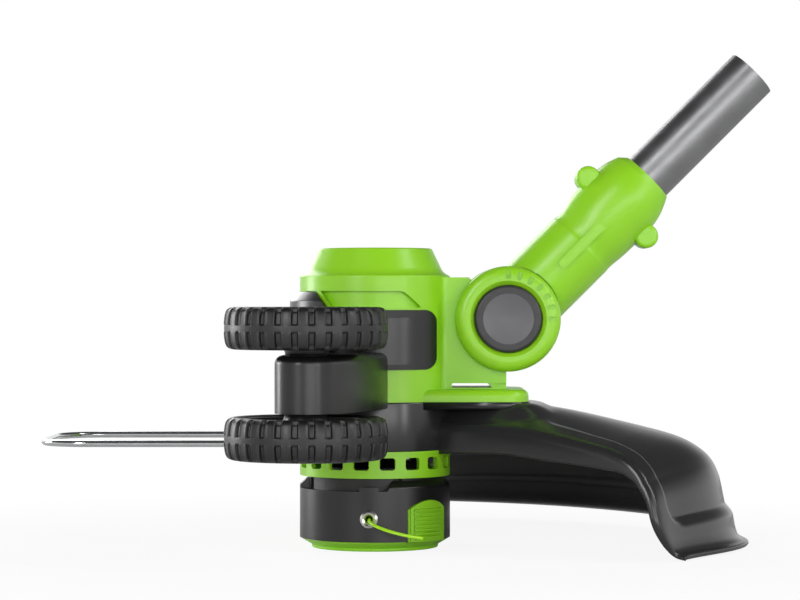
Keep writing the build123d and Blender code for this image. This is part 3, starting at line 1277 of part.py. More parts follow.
def sleeve():
    """Whole sleeve in its own frame before it is split."""
    half = KNUCKLE_HALF_W
    outside = sleeve_outside()
    outside -= cross_rod(EAR_R + TILT_GAP, -60, 60, 0, 0) - block(-60, 60, -half, half, -60, 60)
    outside -= cross_rod(KNUCKLE_R, -60, 60, 0, 0) & block(-60, 60, -half, half, -60, 60)
    knuckle = cross_rod(KNUCKLE_R, -half, half, 0, 0)
    body = outside + knuckle
    for rise in (LUG_OFFSET + 0.4, -LUG_OFFSET + 0.6):
        lug = cross_rod(LUG_R, -LUG_HALF_W, LUG_HALF_W, LUG_AT, rise)
        body += fillet(lug.edges().filter_by(GeomType.CIRCLE), 2.0)
    # embossed capsule on the near side
    capsule = Pos(55, 0) * SlotOverall(37, 5)
    emboss = Pos(0, -SLEEVE_R + 3, 0) * Rot(90, 0, 0) * extrude(capsule, 6)
    body += emboss & (Rot(0, 90, 0) * Cylinder(SLEEVE_R + EMBOSS_H, 200))

    # hollow with ribs that grip the tube
    cavity = long_rod(SLEEVE_R - SLEEVE_WALL, KNUCKLE_R + 6, SLEEVE_LENGTH - 6)
    grip = Rot(0, 90, 0) * Cylinder(TUBE_R + SEAT, 2 * SLEEVE_LENGTH)
    for t in (TUBE_START - 3, TUBE_START + 10, TUBE_START + 24, TUBE_START + 38):
        cavity -= Pos(t, 0, 0) * Rot(0, 90, 0) * Cylinder(SLEEVE_R, RIB_THICK)
    body -= cavity
    stop = TUBE_START - 3 + RIB_THICK / 2
    body -= grip & block(stop, 300, -60, 60, -60, 60)
    # wire way from the tube into the knuckle
    body -= long_rod(7.0, 0, stop + 1) & block(KNUCKLE_R - 6, 80, -60, 60, -60, 60)
    # pin bore and the pocket for lock and spring
    body -= cross_rod(PIN_R + RUNNING, -60, 60, 0, 0)
    body -= cross_rod(LOCK_R + SLIDING, -60, KNUCKLE_POCKET_Y, 0, 0)
    for rise in (LUG_OFFSET + 0.4, -LUG_OFFSET + 0.6):
        body -= cross_rod(SCREW_R + SCREW_GAP, -LUG_HALF_W + 2.5, 60, LUG_AT, rise)
        body -= cross_rod(SCREW_HEAD_R + 0.4, LUG_HALF_W - 3.2, 60, LUG_AT, rise)
    return body


def sleeve_half(whole, side):
    """One half of the sleeve: side -1 is near, +1 is far."""
    y0, y1 = (-60, 0) if side < 0 else (0, 60)
    return on_shaft(biggest(whole & block(-60, 200, y0, y1, -60, 60)))


def sleeve_screws():
    """Two screws through the lugs from the far side."""
    made = []
    for rise in (LUG_OFFSET + 0.4, -LUG_OFFSET + 0.6):
        place = Pos(LUG_AT, LUG_HALF_W - 3.2, rise) * Rot(-90, 0, 0)
        made.append(on_shaft(place * screw(2 * LUG_HALF_W - 6.5)))
    return solids_of(made)


def tube():
    """Lower shaft tube, open at its upper end."""
    length = TUBE_END - TUBE_START
    wall = Cylinder(TUBE_R, length) - Cylinder(TUBE_R - TUBE_WALL, length + 2)
    return on_shaft(Pos((TUBE_START + TUBE_END) / 2, 0, 0) * Rot(0, 90, 0) * wall)


# ---------------------------------------------------------------- write the parts
def main():
    os.makedirs("parts", exist_ok=True)
    shell = housing()
    sleeve_whole = sleeve()
    nodes = {
        "housing_near": housing_half(shell, -1),
        "housing_far": housing_half(shell, 1),
        "housing_screws": housing_screws(),
        "vent_ring": vent_ring(),
        "vent_ring_screws": vent_ring_screws(),
        "motor_mount": motor_mount(),
        "motor_can": motor_can(),
        "motor_screws": motor_screws(),
        "motor_magnets": motor_magnets(),
        "motor_end_cap": motor_end_cap(),
        "motor_brushes": motor_brushes(),
        "motor_terminals": motor_terminals(),
        "lower_bearing": bearing(CAN_BOTTOM_Z - 1),
        "upper_bearing": bearing(CAN_TOP_Z + 1),
        "motor_shaft": motor_shaft(),
        "rotor_core": rotor_core(),
        "rotor_windings": rotor_windings(),
        "commutator": commutator(),
        "motor_fan": motor_fan(),
        "driver_disc": driver_disc(),
        "driver_nut": driver_nut(),
        "spool_housing": spool_housing(),
        "line_eyelet": line_eyelet(),
        "spool_cap": spool_cap(),
        "spool_latch_near": spool_latch(LATCH_ANGLE),
        "spool_latch_far": spool_latch(LATCH_ANGLE + 180),
        "line_spool": line_spool(),
        "line_winding": line_winding(),
        "spool_spring": spool_spring(),
        "cutting_line": cutting_line(),
        "wheel_bracket": wheel_bracket(),
        "bracket_screws": bracket_screws(),
        "wheel_axle": wheel_axle(),
        "axle_clips": axle_clips(),
        "wheel_spacers": wheel_spacers(),
        "guard": guard(),
        "guard_screws": guard_screws(),
        "line_cutter": line_cutter(),
        "line_cutter_screws": line_cutter_screws(),
        "plant_guard_clip": plant_guard_clip(),
        "clip_screws": clip_screws(),
        "plant_guard_wire": plant_guard_wire(),
        "pivot_pin": pivot_pin(),
        "pivot_cap": pivot_cap(),
        "tilt_button": tilt_button(),
        "tilt_lock": tilt_lock(),
        "tilt_spring": tilt_spring(),
        "sleeve_near": sleeve_half(sleeve_whole, -1),
        "sleeve_far": sleeve_half(sleeve_whole, 1),
        "sleeve_screws": sleeve_screws(),
        "tube": tube(),
    }
    for name, z0 in (("upper", UPPER_WHEEL_Z), ("lower", LOWER_WHEEL_Z)):
        nodes["wheel_tyre_" + name] = wheel_tyre(z0)
        nodes["wheel_hub_" + name] = wheel_hub(z0)
        nodes["wheel_bush_" + name] = wheel_bush(z0)
    for name, shape in nodes.items():
        export_step(shape, "parts/" + name + ".step")


main()
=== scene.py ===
import math

import bmesh
import bpy
import numpy as np
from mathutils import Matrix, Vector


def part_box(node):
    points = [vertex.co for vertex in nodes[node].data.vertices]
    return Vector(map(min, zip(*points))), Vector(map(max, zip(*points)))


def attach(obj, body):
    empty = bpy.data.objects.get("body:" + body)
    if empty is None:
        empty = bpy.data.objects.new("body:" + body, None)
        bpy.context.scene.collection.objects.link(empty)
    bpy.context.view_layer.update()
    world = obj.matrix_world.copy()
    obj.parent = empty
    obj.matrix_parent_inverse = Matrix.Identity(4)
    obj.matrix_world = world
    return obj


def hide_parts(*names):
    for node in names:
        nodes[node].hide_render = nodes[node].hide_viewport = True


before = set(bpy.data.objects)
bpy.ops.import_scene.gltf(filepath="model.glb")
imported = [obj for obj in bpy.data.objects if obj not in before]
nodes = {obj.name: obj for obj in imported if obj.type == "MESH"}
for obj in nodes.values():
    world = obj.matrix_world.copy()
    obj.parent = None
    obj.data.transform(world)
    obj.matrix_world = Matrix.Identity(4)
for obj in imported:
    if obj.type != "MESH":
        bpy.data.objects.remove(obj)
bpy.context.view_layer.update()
scene = bpy.context.scene
mm = 0.001

print("frame loaded:", len(nodes), "pieces")


# camera, a long lens level with the head, so that upright lines stay upright

camera = {
    "place": (0.0125, -1.350, 0.123),
    "turn": (90, 0, 0),
    "lens": 121.5,
    "sensor": 36.0,
    "farthest": 50.0,
}

cameraData = bpy.data.cameras.new("camera")
cameraData.lens = camera["lens"]
cameraData.sensor_width = camera["sensor"]
cameraData.clip_end = camera["farthest"]
cameraObject = bpy.data.objects.new("camera", cameraData)
cameraObject.location = camera["place"]
cameraObject.rotation_euler = [math.radians(angle) for angle in camera["turn"]]
scene.collection.objects.link(cameraObject)
scene.camera = cameraObject
scene.view_settings.view_transform = "Standard"


# helpers

def linearColour(hexText):
    # sRGB hex to linear: v/12.92 below 0.04045, else ((v + 0.055) / 1.055) to the power 2.4
    values = [int(hexText[i:i + 2], 16) / 255 for i in (1, 3, 5)]
    linear = [v / 12.92 if v <= 0.04045 else ((v + 0.055) / 1.055) ** 2.4 for v in values]
    return (*linear, 1.0)


def addNode(tree, kind, settings=None, values=None, links=None):
    # one shader node: its settings, its input values, and the outputs that feed its inputs
    node = tree.nodes.new(kind)
    for key, value in (settings or {}).items():
        setattr(node, key, value)
    for key, value in (values or {}).items():
        node.inputs[key].default_value = value
    for key, source in (links or {}).items():
        tree.links.new(source, node.inputs[key])
    return node


def newMaterial(name):
    # an empty material with its output node, its shader and the piece's own coordinates in metres
    material = bpy.data.materials.new(name)
    material.use_nodes = True
    tree = material.node_tree
    tree.nodes.clear()
    shader = addNode(tree, "ShaderNodeBsdfPrincipled")
    addNode(tree, "ShaderNodeOutputMaterial", links={"Surface": shader.outputs["BSDF"]})
    place = addNode(tree, "ShaderNodeTexCoord").outputs["Object"]
    return material, tree, shader, place


def noiseValue(tree, place, size, detail=2.0, stretch=(1, 1, 1)):
    # grey noise whose blotches are about size metres across, longer along an axis where stretch is over 1
    vector = place
    if stretch != (1, 1, 1):
        squeeze = tuple(1 / s for s in stretch)
        mapping = addNode(tree, "ShaderNodeMapping", values={"Scale": squeeze}, links={"Vector": place})
        vector = mapping.outputs["Vector"]
    values = {"Scale": 1 / size, "Detail": detail, "Roughness": 0.5}
    return addNode(tree, "ShaderNodeTexNoise", values=values, links={"Vector": vector}).outputs["Fac"]


def spreadOver(tree, source, low, high):
    # a noise hardly ever leaves 0.3 to 0.7, so that middle is stretched to the range from low to high
    values = {"From Min": 0.3, "From Max": 0.7, "To Min": low, "To Max": high}
    return addNode(tree, "ShaderNodeMapRange", values=values, links={"Value": source}).outputs["Result"]


def blendColours(tree, share, *colours):
    # from the first colour to the second as share rises; each is a hex text or another node's output
    mix = tree.nodes.new("ShaderNodeMix")
    mix.data_type = "RGBA"
    tree.links.new(share, mix.inputs["Factor"])
    for socket, colour in zip([s for s in mix.inputs if s.type == "RGBA"], colours):
        if isinstance(colour, str):
            socket.default_value = linearColour(colour)
        else:
            tree.links.new(colour, socket)
    return next(s for s in mix.outputs if s.type == "RGBA")


# materials

def finishSurface(tree, shader, look, colourNoise, glossNoise, bumpNoise):
    # colour drifts between two close shades, gloss about its middle, and a fine bump breaks up the lights
    low, high = look["roughness"] - look["spread"], look["roughness"] + look["spread"]
    share = spreadOver(tree, colourNoise, 0, 1)
    bump = addNode(tree, "ShaderNodeBump", links={"Height": bumpNoise},
                   values={"Strength": look["bump"], "Distance": look["depth"] * mm})
    tree.links.new(blendColours(tree, share, look["colour"], look["shade"]), shader.inputs["Base Color"])
    tree.links.new(spreadOver(tree, glossNoise, low, high), shader.inputs["Roughness"])
    tree.links.new(bump.outputs["Normal"], shader.inputs["Normal"])


def mouldedMaterial(name, look):
    # plastic or rubber from a mould: faint blotches in colour and gloss, and the mould's grain as bump
    material, tree, shader, place = newMaterial(name)
    blotch = noiseValue(tree, place, look["blotch"] * mm)
    haze = noiseValue(tree, place, look["haze"] * mm, detail=4.0)
    grain = noiseValue(tree, place, look["grain"] * mm, detail=1.0)
    finishSurface(tree, shader, look, blotch, haze, grain)
    shader.inputs["IOR"].default_value = look["ior"]
    return material


def metalMaterial(name, look):
    # bare or plated metal: streaks in gloss and bump, longer the way it was ground or stamped
    material, tree, shader, place = newMaterial(name)
    streak = noiseValue(tree, place, look["streak"] * mm, detail=3.0, stretch=look["along"])
    haze = noiseValue(tree, place, look["haze"] * mm, detail=3.0)
    finishSurface(tree, shader, look, haze, streak, streak)
    shader.inputs["Metallic"].default_value = 1.0
    return material


# sizes in mm; haze is the change in gloss, blotch the change in colour, and grain the mould's texture, which is
# drawn a few times coarser than the real tenth of a millimetre so that it shows

mouldedLooks = {
    # shot in a polished and lightly etched mould: clean bright green with a soft broad gloss
    "mouldedGreenAbs": dict(colour="#8ecd22", shade="#88c81e", roughness=0.33, spread=0.03, ior=1.5,
                            blotch=60, haze=9, grain=0.5, depth=0.012, bump=0.35),
    # glass-filled: a grey sheen over black
    "mouldedBlackNylon": dict(colour="#171718", shade="#151516", roughness=0.3, spread=0.02, ior=1.52,
                              blotch=40, haze=12, grain=0.5, depth=0.006, bump=0.25),
    # glossier and a touch greyer than the nylon
    "mouldedBlackPolypropylene": dict(colour="#262627", shade="#242425", roughness=0.24, spread=0.01,
                                      ior=1.49, blotch=50, haze=14, grain=0.6, depth=0.003, bump=0.15),
    # parts inside the head, dull from the mould
    "mouldedDarkNylon": dict(colour="#1b1b1c", shade="#171718", roughness=0.5, spread=0.05, ior=1.52,
                             blotch=30, haze=6, grain=0.5, depth=0.015, bump=0.4),
    # an even dark grey with a fine grain
    "etchedGreyAbs": dict(colour="#5e5e61", shade="#58585b", roughness=0.42, spread=0.05, ior=1.5,
                          blotch=14, haze=4, grain=0.35, depth=0.02, bump=0.6),
    # off-white and smooth
    "turnedWhiteAcetal": dict(colour="#c9c7c0", shade="#c0beb6", roughness=0.4, spread=0.04, ior=1.48,
                              blotch=10, haze=3, grain=0.3, depth=0.006, bump=0.3),
    # near black with a soft uneven gloss
    "mouldedTyreRubber": dict(colour="#131314", shade="#101011", roughness=0.42, spread=0.05, ior=1.52,
                              blotch=16, haze=4, grain=0.45, depth=0.02, bump=0.6),
    # glossy and almost glowing
    "extrudedGreenNylon": dict(colour="#b4f01c", shade="#a9e816", roughness=0.25, spread=0.04, ior=1.53,
                               blotch=6, haze=2, grain=0.3, depth=0.004, bump=0.3),
    # black and slightly open
    "sinteredFerrite": dict(colour="#2e2e30", shade="#262628", roughness=0.7, spread=0.06, ior=1.6,
                            blotch=5, haze=2, grain=0.3, depth=0.02, bump=0.7),
}

# sizes in mm; streak is the width of a streak, along how far it is drawn out on each axis

metalLooks = {
    # a grey tube with broad soft lights
    "drawnGreyAluminium": dict(colour="#8c8c8e", shade="#848486", roughness=0.38, spread=0.05,
                               streak=11.2, along=(1, 1, 1), haze=12, depth=0.006, bump=0.3),
    # bright chromium on bent wire: a mirror with a slight haze
    "platedBrightWire": dict(colour="#c9cacc", shade="#bfc0c3", roughness=0.14, spread=0.03,
                             streak=4.8, along=(1, 1, 1), haze=8, depth=0.003, bump=0.2),
    # zinc on screws: pale with a faint blue
    "platedZinc": dict(colour="#a7a9ae", shade="#9a9ca2", roughness=0.34, spread=0.05,
                       streak=0.4, along=(1, 1, 1), haze=3, depth=0.004, bump=0.3),
    # upright shafts: fine rings round the bar
    "groundSteel": dict(colour="#c2c3c5", shade="#b8b9bc", roughness=0.24, spread=0.05,
                        streak=0.3, along=(10, 10, 1), haze=4, depth=0.003, bump=0.3),
    # coiled wire, plain and grey
    "drawnSpringSteel": dict(colour="#a9aaad", shade="#9c9da1", roughness=0.3, spread=0.05,
                             streak=0.3, along=(1, 1, 1), haze=3, depth=0.003, bump=0.3),
    # a blade ground along its edge
    "stampedSteel": dict(colour="#b4b5b8", shade="#a6a7ab", roughness=0.3, spread=0.06,
                         streak=0.3, along=(12, 1, 1), haze=6, depth=0.005, bump=0.35),
    # the motor's can and plates: satin, with upright streaks
    "platedSheetSteel": dict(colour="#a9abb0", shade="#9b9da3", roughness=0.38, spread=0.06,
                             streak=0.5, along=(1, 1, 10), haze=8, depth=0.005, bump=0.3),
    # wire wound over the poles: warm and glossy
    "enamelledCopper": dict(colour="#b8673c", shade="#a3562f", roughness=0.3, spread=0.06,
                            streak=0.5, along=(1, 1, 8), haze=4, depth=0.02, bump=0.5),
    # bushes: dull and brownish
    "sinteredBronze": dict(colour="#a98a52", shade="#98793f", roughness=0.5, spread=0.06,
                           streak=0.3, along=(1, 1, 1), haze=2, depth=0.01, bump=0.5),
    # terminals: yellow with a satin shine
    "stampedBrass": dict(colour="#c9a85a", shade="#bb994a", roughness=0.32, spread=0.05,
                         streak=0.4, along=(1, 1, 1), haze=4, depth=0.004, bump=0.3),
    # nickel on the line eyelet: almost white
    "platedNickel": dict(colour="#dedcd6", shade="#d3d1cb", roughness=0.18, spread=0.04,
                         streak=0.3, along=(1, 1, 1), haze=2, depth=0.002, bump=0.2),
}

finishOf = {
    "green_plastic": "mouldedGreenAbs",
    "black_plastic": "mouldedBlackNylon",
    "guard_plastic": "mouldedBlackPolypropylene",
    "dark_plastic": "mouldedDarkNylon",
    "button_plastic": "etchedGreyAbs",
    "bush_plastic": "turnedWhiteAcetal",
    "tyre_rubber": "mouldedTyreRubber",
    "tube_aluminium": "drawnGreyAluminium",
    "wire_steel": "platedBrightWire",
    "screw_steel": "platedZinc",
    "shaft_steel": "groundSteel",
    "spring_steel": "drawnSpringSteel",
    "blade_steel": "stampedSteel",
    "motor_steel": "platedSheetSteel",
    "magnet": "sinteredFerrite",
    "copper": "enamelledCopper",
    "bronze": "sinteredBronze",
    "brass_parts": "stampedBrass",
    "eyelet_metal": "platedNickel",
    "line_nylon": "extrudedGreenNylon",
}

materials = {name: mouldedMaterial(name, look) for name, look in mouldedLooks.items()}
materials.update({name: metalMaterial(name, look) for name, look in metalLooks.items()})

for node in nodes.values():
    slotName = node.data.materials[0].name.split(".")[0]
    node.data.materials[0] = materials[finishOf[slotName]]


# the tilt button has a dark rim round its lighter dish

buttonRim = {
    "radius": 12.5,
    "soft": 0.2,
    "colour": "#2c2c2e",
}

buttonTree = materials["etchedGreyAbs"].node_tree
buttonShader = next(n for n in buttonTree.nodes if n.type == "BSDF_PRINCIPLED")
buttonPlace = next(n for n in buttonTree.nodes if n.type == "TEX_COORD").outputs["Object"]
buttonMiddle = [(low + high) / 2 for low, high in zip(*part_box("tilt_button"))]
fromMiddle = addNode(buttonTree, "ShaderNodeVectorMath", settings={"operation": "SUBTRACT"},
                     values={1: buttonMiddle}, links={0: buttonPlace}).outputs["Vector"]
fromAxis = addNode(buttonTree, "ShaderNodeVectorMath", settings={"operation": "MULTIPLY"},
                   values={1: (1, 0, 1)}, links={0: fromMiddle}).outputs["Vector"]
reach = addNode(buttonTree, "ShaderNodeVectorMath", settings={"operation": "LENGTH"},
                links={0: fromAxis}).outputs["Value"]
rimShare = addNode(buttonTree, "ShaderNodeMapRange", links={"Value": reach},
                   values={"From Min": (buttonRim["radius"] - buttonRim["soft"]) * mm,
                           "From Max": buttonRim["radius"] * mm}).outputs["Result"]
dishColour = buttonShader.inputs["Base Color"].links[0].from_socket
buttonColour = blendColours(buttonTree, rimShare, dishColour, buttonRim["colour"])
buttonTree.links.new(buttonColour, buttonShader.inputs["Base Color"])

print("materials:", len(materials))


# the free end of the cutting line

cuttingLine = {
    "radius": 0.8,
    # route in mm, out through the eyelet, down and round with the drum
    "route": [(-1.9, -27.2, 16.5), (-2.6, -37.0, 16.4), (-2.3, -42.9, 15.3), (1.4, -48.0, 13.5),
              (8.1, -51.3, 11.4), (15.7, -53.9, 9.7), (23.5, -56.0, 8.8)],
    "exit": (-2.6, -38.2, 16.4),
    "length": 46.0,
    "bevelLevel": 5,
    "stepsPerPoint": 16,
}

lineCurve = bpy.data.curves.new("cutting_line_end", "CURVE")
lineCurve.dimensions = "3D"
lineCurve.bevel_depth = cuttingLine["radius"] * mm
lineCurve.bevel_resolution = cuttingLine["bevelLevel"]
lineCurve.resolution_u = cuttingLine["stepsPerPoint"]
lineCurve.use_fill_caps = True
spline = lineCurve.splines.new("NURBS")
spline.points.add(len(cuttingLine["route"]) - 1)
routePoints = np.ones((len(cuttingLine["route"]), 4))
routePoints[:, :3] = np.array(cuttingLine["route"]) * mm
spline.points.foreach_set("co", routePoints.ravel())
spline.order_u = 3
spline.use_endpoint_u = True
lineCurve.materials.append(materials["extrudedGreenNylon"])
lineEnd = bpy.data.objects.new("cutting_line_end", lineCurve)
scene.collection.objects.link(lineEnd)
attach(lineEnd, "spool_head")
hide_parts("cutting_line")

print("cutting line: laid")


# new surfaces

surfaces = {
    "weld": 2e-6,       # points closer than this, in metres, become one
    "shortest": 1e-7,   # edges shorter than this go
}


def smoothThrough(points, count):
    # a Catmull-Rom curve through the points, count samples in even steps along their chords
    points = np.array(points, float)
    ends = np.vstack([2 * points[0] - points[1], points, 2 * points[-1] - points[-2]])
    chords = np.linalg.norm(np.diff(points, axis=0), axis=1)
    along = np.concatenate([[0], np.cumsum(chords)])
    want = np.linspace(0, along[-1], count)
    i = np.clip(np.searchsorted(along, want, side="right") - 1, 0, len(chords) - 1)
    t = ((want - along[i]) / chords[i])[:, None]
    p0, p1, p2, p3 = ends[i], ends[i + 1], ends[i + 2], ends[i + 3]
    return 0.5 * (2 * p1 + (p2 - p0) * t + (2 * p0 - 5 * p1 + 4 * p2 - p3) * t ** 2
                  + (3 * p1 - p0 - 3 * p2 + p3) * t ** 3)


def easeStep(value, low, high):
    # 0 below low, 1 above high, and a smooth S between: 3t squared less 2t cubed
    t = np.clip((value - low) / (high - low), 0, 1)
    return t * t * (3 - 2 * t)


def gridFaces(rows, columns, closedRows=False, closedColumns=False):
    # the four corners of every cell of a grid of points numbered row by row
    r = np.arange(rows if closedRows else rows - 1)[:, None]
    c = np.arange(columns if closedColumns else columns - 1)[None, :]
    down, right = (r + 1) % rows, (c + 1) % columns
    cells = [r * columns + c, r * columns + right, down * columns + right, down * columns + c]
    return np.stack([np.broadcast_to(cell, (r.size, c.size)).ravel() for cell in cells], axis=1)


def newPiece(name, parts, material, body, slotName, *replaced):
    # joins (points in mm, faces) parts into one smooth-shaded piece that rides on a body
    mesh = bpy.data.meshes.new(name)
    starts = np.cumsum([0] + [len(points) for points, faces in parts])
    points = np.vstack([points for points, faces in parts]) * mm
    faces = np.vstack([faces + start for (part, faces), start in zip(parts, starts)])
    mesh.from_pydata(points, [], faces)
    work = bmesh.new()
    work.from_mesh(mesh)
    bmesh.ops.remove_doubles(work, verts=work.verts, dist=surfaces["weld"])
    bmesh.ops.dissolve_degenerate(work, edges=work.edges, dist=surfaces["shortest"])
    bmesh.ops.recalc_face_normals(work, faces=work.faces)
    work.to_mesh(mesh)
    work.free()
    mesh.polygons.foreach_set("use_smooth", np.ones(len(mesh.polygons), bool))
    mesh.materials.append(materials[material])
    piece = bpy.data.objects.new(name, mesh)
    scene.collection.objects.link(piece)
    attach(piece, body)
    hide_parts(*replaced)


# line guard, a thin moulding with both edges folded down, a sunk panel and a lip along its foot

lineGuard = {
    "start": -34.0,             # degrees about the spool axis, near edge and far edge
    "end": 88.0,
    "wall": 2.6,
    # section from the collar out to the lip: radius and height of the upper face
    "profile": [(36.6, 72.0), (60, 72.4), (77, 72.0), (95, 69.8), (112, 67.0), (137, 62.0), (152, 58.0),
                (162, 53.0), (169.5, 46.5), (174, 38.0), (176.6, 27.0), (178.4, 17.0), (179.9, 9.5),
                (182.0, 5.2), (186.6, 3.6)],
    "profileSteps": 400,
    "edgeDrop": 10.5,           # fall of the top towards the near edge
    "farDrop": 0.8,             # share of it at the far edge
    "dropSpan": 34.0,
    "dropPower": 1.6,
    "dropFull": 55.0,           # above this height the drop is whole
    "hem": [(5, 0), (37, 6), (88, 9)],  # degrees and how far the foot rises off the ground there
    "hemTop": 72.0,             # height at which none of the rise is left
    "pull": 0.095,              # how far the skirt is drawn in at the near edge
    "pullSpan": 30.0,
    "pullReach": (130.0, 170.0),
    "fold": 1.3,                # softness of the folded edges
    "nearDepth": [(40, 14.0), (100, 12.0), (137, 8.5), (165, 4.5), (182, 2.6)],
    "farDepth": 13.0,
    "corner": 27.0,             # radius of the skirt's lower near corner
    "cornerThin": 0.7,          # share of the near edge's depth that is lost down there
    "panelDepth": 3.0,
    "panelInner": 0.3,          # share of that depth next to the housing
    "panelReach": (80, 150),
    "panelSlope": 7.0,
    "panelNear": 11.0,          # width of the frame at the near edge, far edge, foot and mounting plate
    "panelFar": 7.0,
    "panelFoot": 17.0,
    "panelPlate": 7.0,
    "panelCorner": 16.0,
    "padFade": (0.5, 13.0),     # distance from the mounting plate over which its pad falls away
    "padEdge": (2.0, 16.0),     # distance from the near edge over which it rises
    "ground": 0.05,             # no point lies lower
    "columns": 150,
    "columnGather": 0.82,       # how much the columns close up at the edges
    "foldColumns": 14,
    "rows": 150,
    "rowGather": 0.65,          # how much the rows close up at the lip
    "collar": {
        "inner": 35.1,
        "outer": 38.3,
        "bottom": 49.0,
        "top": 73.0,
        "corner": 0.7,
        "cornerPoints": 5,
        "sides": 120,
    },
    "plate": {
        "reach": 64.0,          # its sides run straight to here
        "halfWidth": 17.0,
        "corner": 12.0,
        "margin": 1.0,          # how far it stands out past the outline that the pad follows
        "padHeight": 72.4,      # top of the pad
        "inner": 36.8,          # the end inside the collar is round
        "middle": (50.0, 0.0),
        # outline of each level: how far it is drawn in, and its height
        "levels": [(2.0, 69.4), (0.6, 69.6), (0.1, 70.3), (0.0, 71.0), (0.0, 72.8), (0.15, 72.97)],
        "tipPoints": 33,
        "innerPoints": 25,
    },
}


def plateDistance(x, y):
    # distance outside the mounting plate's outline, negative inside it
    g = lineGuard["plate"]
    beyond = np.maximum(x - g["reach"], 0)
    beside = np.maximum(np.abs(y) - g["halfWidth"], 0)
    return np.hypot(beyond, beside) - g["corner"]


def guardSheet():
    # rows run out along the profile and columns round the axis: a point has its row's radius and height, and its
    # angle is the way along the row's arc over that radius; the foot, pull, pad, panel and folds then move it
    g = lineGuard
    half = g["wall"] / 2
    section = smoothThrough(g["profile"], g["profileSteps"])
    lengths = np.concatenate([[0], np.cumsum(np.linalg.norm(np.diff(section, axis=0), axis=1))])
    # rows close up towards the lip: a blend of t and the sine of its quarter turn
    t = np.linspace(0, 1, g["rows"])
    v = lengths[-1] * ((1 - g["rowGather"]) * t + g["rowGather"] * np.sin(np.pi / 2 * t))
    radius = np.interp(v, lengths, section[:, 0])[:, None]
    height = np.interp(v, lengths, section[:, 1])[:, None]
    nearDepth = np.interp(radius, *zip(*g["nearDepth"]))
    # the lower near corner is cut back along a quarter circle
    low = np.clip(g["corner"] - height, 0, g["corner"])
    cutBack = g["corner"] - np.sqrt(g["corner"] ** 2 - low ** 2)
    nearDepth = nearDepth * (1 - g["cornerThin"] * easeStep(low, 0, g["corner"]))
    # columns: up the near flange, across the top in steps that close up at its edges, down the far flange
    span = radius * math.radians(g["end"] - g["start"]) - 2 * half - cutBack
    fold = np.cos(np.pi / 2 * np.linspace(0, 1, g["foldColumns"] + 1)[None, :-1])
    flat = np.linspace(0, 1, g["columns"])[None, :]
    flat = flat - g["columnGather"] * np.sin(2 * np.pi * flat) / (2 * np.pi)
    q = np.hstack([-nearDepth * fold, span * flat, span + g["farDepth"] * fold[:, ::-1]])
    # a soft fold: the way along is e ln(1 + exp(q/e)), the way down is the same of -q
    e = g["fold"]
    alongNear = e * np.logaddexp(0, q / e)
    alongFar = e * np.logaddexp(0, (span - q) / e)
    along = np.where(q < span / 2, alongNear, span - alongFar)
    down = e * np.logaddexp(0, -q / e) + e * np.logaddexp(0, (q - span) / e)
    angle = math.radians(g["start"]) + (half + cutBack + along) / radius
    degrees = np.degrees(angle)
    # the top falls towards both edges, the foot rises, and the skirt is drawn in at the near edge
    near = np.clip((g["start"] + g["dropSpan"] - degrees) / g["dropSpan"], 0, 1)
    far = np.clip((degrees - g["end"] + g["dropSpan"]) / g["dropSpan"], 0, 1)
    drop = g["edgeDrop"] * (near ** g["dropPower"] + g["farDrop"] * far ** g["dropPower"])
    hem = np.interp(degrees, *zip(*g["hem"]))
    ease = (1 - np.cos(np.pi * np.clip(-degrees / g["pullSpan"], 0, 1))) / 2
    pullStart, pullEnd = g["pullReach"]
    pulled = np.clip((radius - pullStart) / (pullEnd - pullStart), 0, 1)
    r = radius * (1 - g["pull"] * ease * pulled)
    z = hem + height * (1 - hem / g["hemTop"]) - drop * np.clip(height / g["dropFull"], 0, 1)
    # a pad rises to the mounting plate, but not along the near edge
    plate = plateDistance(r * np.cos(angle), r * np.sin(angle))
    pad = (1 - easeStep(plate, *g["padFade"])) * easeStep(along, *g["padEdge"])
    z = z + np.clip(g["plate"]["padHeight"] - z, 0, None) * pad
    # across the section, upwards and outwards
    dr, dz = np.gradient(r, axis=0), np.gradient(z, axis=0)
    size = np.hypot(dr, dz)
    outR, outZ = -dz / size, dr / size
    # the panel is sunk inside a frame with round corners, less so next to the housing
    side = np.minimum(along - g["panelNear"], span - along - g["panelFar"])
    foot = np.minimum(v[-1] - v[:, None] - g["panelFoot"], plate - g["panelPlate"])
    c = g["panelCorner"]
    inside = c - np.hypot(np.clip(c - side, 0, None), np.clip(c - foot, 0, None))
    grown = g["panelInner"] + (1 - g["panelInner"]) * easeStep(radius, *g["panelReach"])
    sunk = g["panelDepth"] * easeStep(inside, 0, g["panelSlope"]) * grown
    shift = -half - sunk - down
    r, z = r + outR * shift, z + outZ * shift
    middle = np.stack([r * np.cos(angle), r * np.sin(angle), z], axis=-1)
    # both faces lie half a wall from the middle, and meet in a half circle round the rim
    alongU = np.cumsum(np.linalg.norm(np.diff(middle, axis=1, prepend=middle[:, :1]), axis=2), axis=1)
    alongV = np.cumsum(np.linalg.norm(np.diff(middle, axis=0, prepend=middle[:1]), axis=2), axis=0)
    rim = np.minimum.reduce([alongU, alongU[:, -1:] - alongU, alongV[-1:] - alongV])
    thick = half * np.sqrt(1 - (1 - np.clip(rim / half, 0, 1)) ** 2)
    across = np.cross(np.gradient(middle, axis=1), np.gradient(middle, axis=0))
    across *= thick[..., None] / np.linalg.norm(across, axis=2, keepdims=True)
    rows, columns = q.shape
    faces = gridFaces(rows, columns)
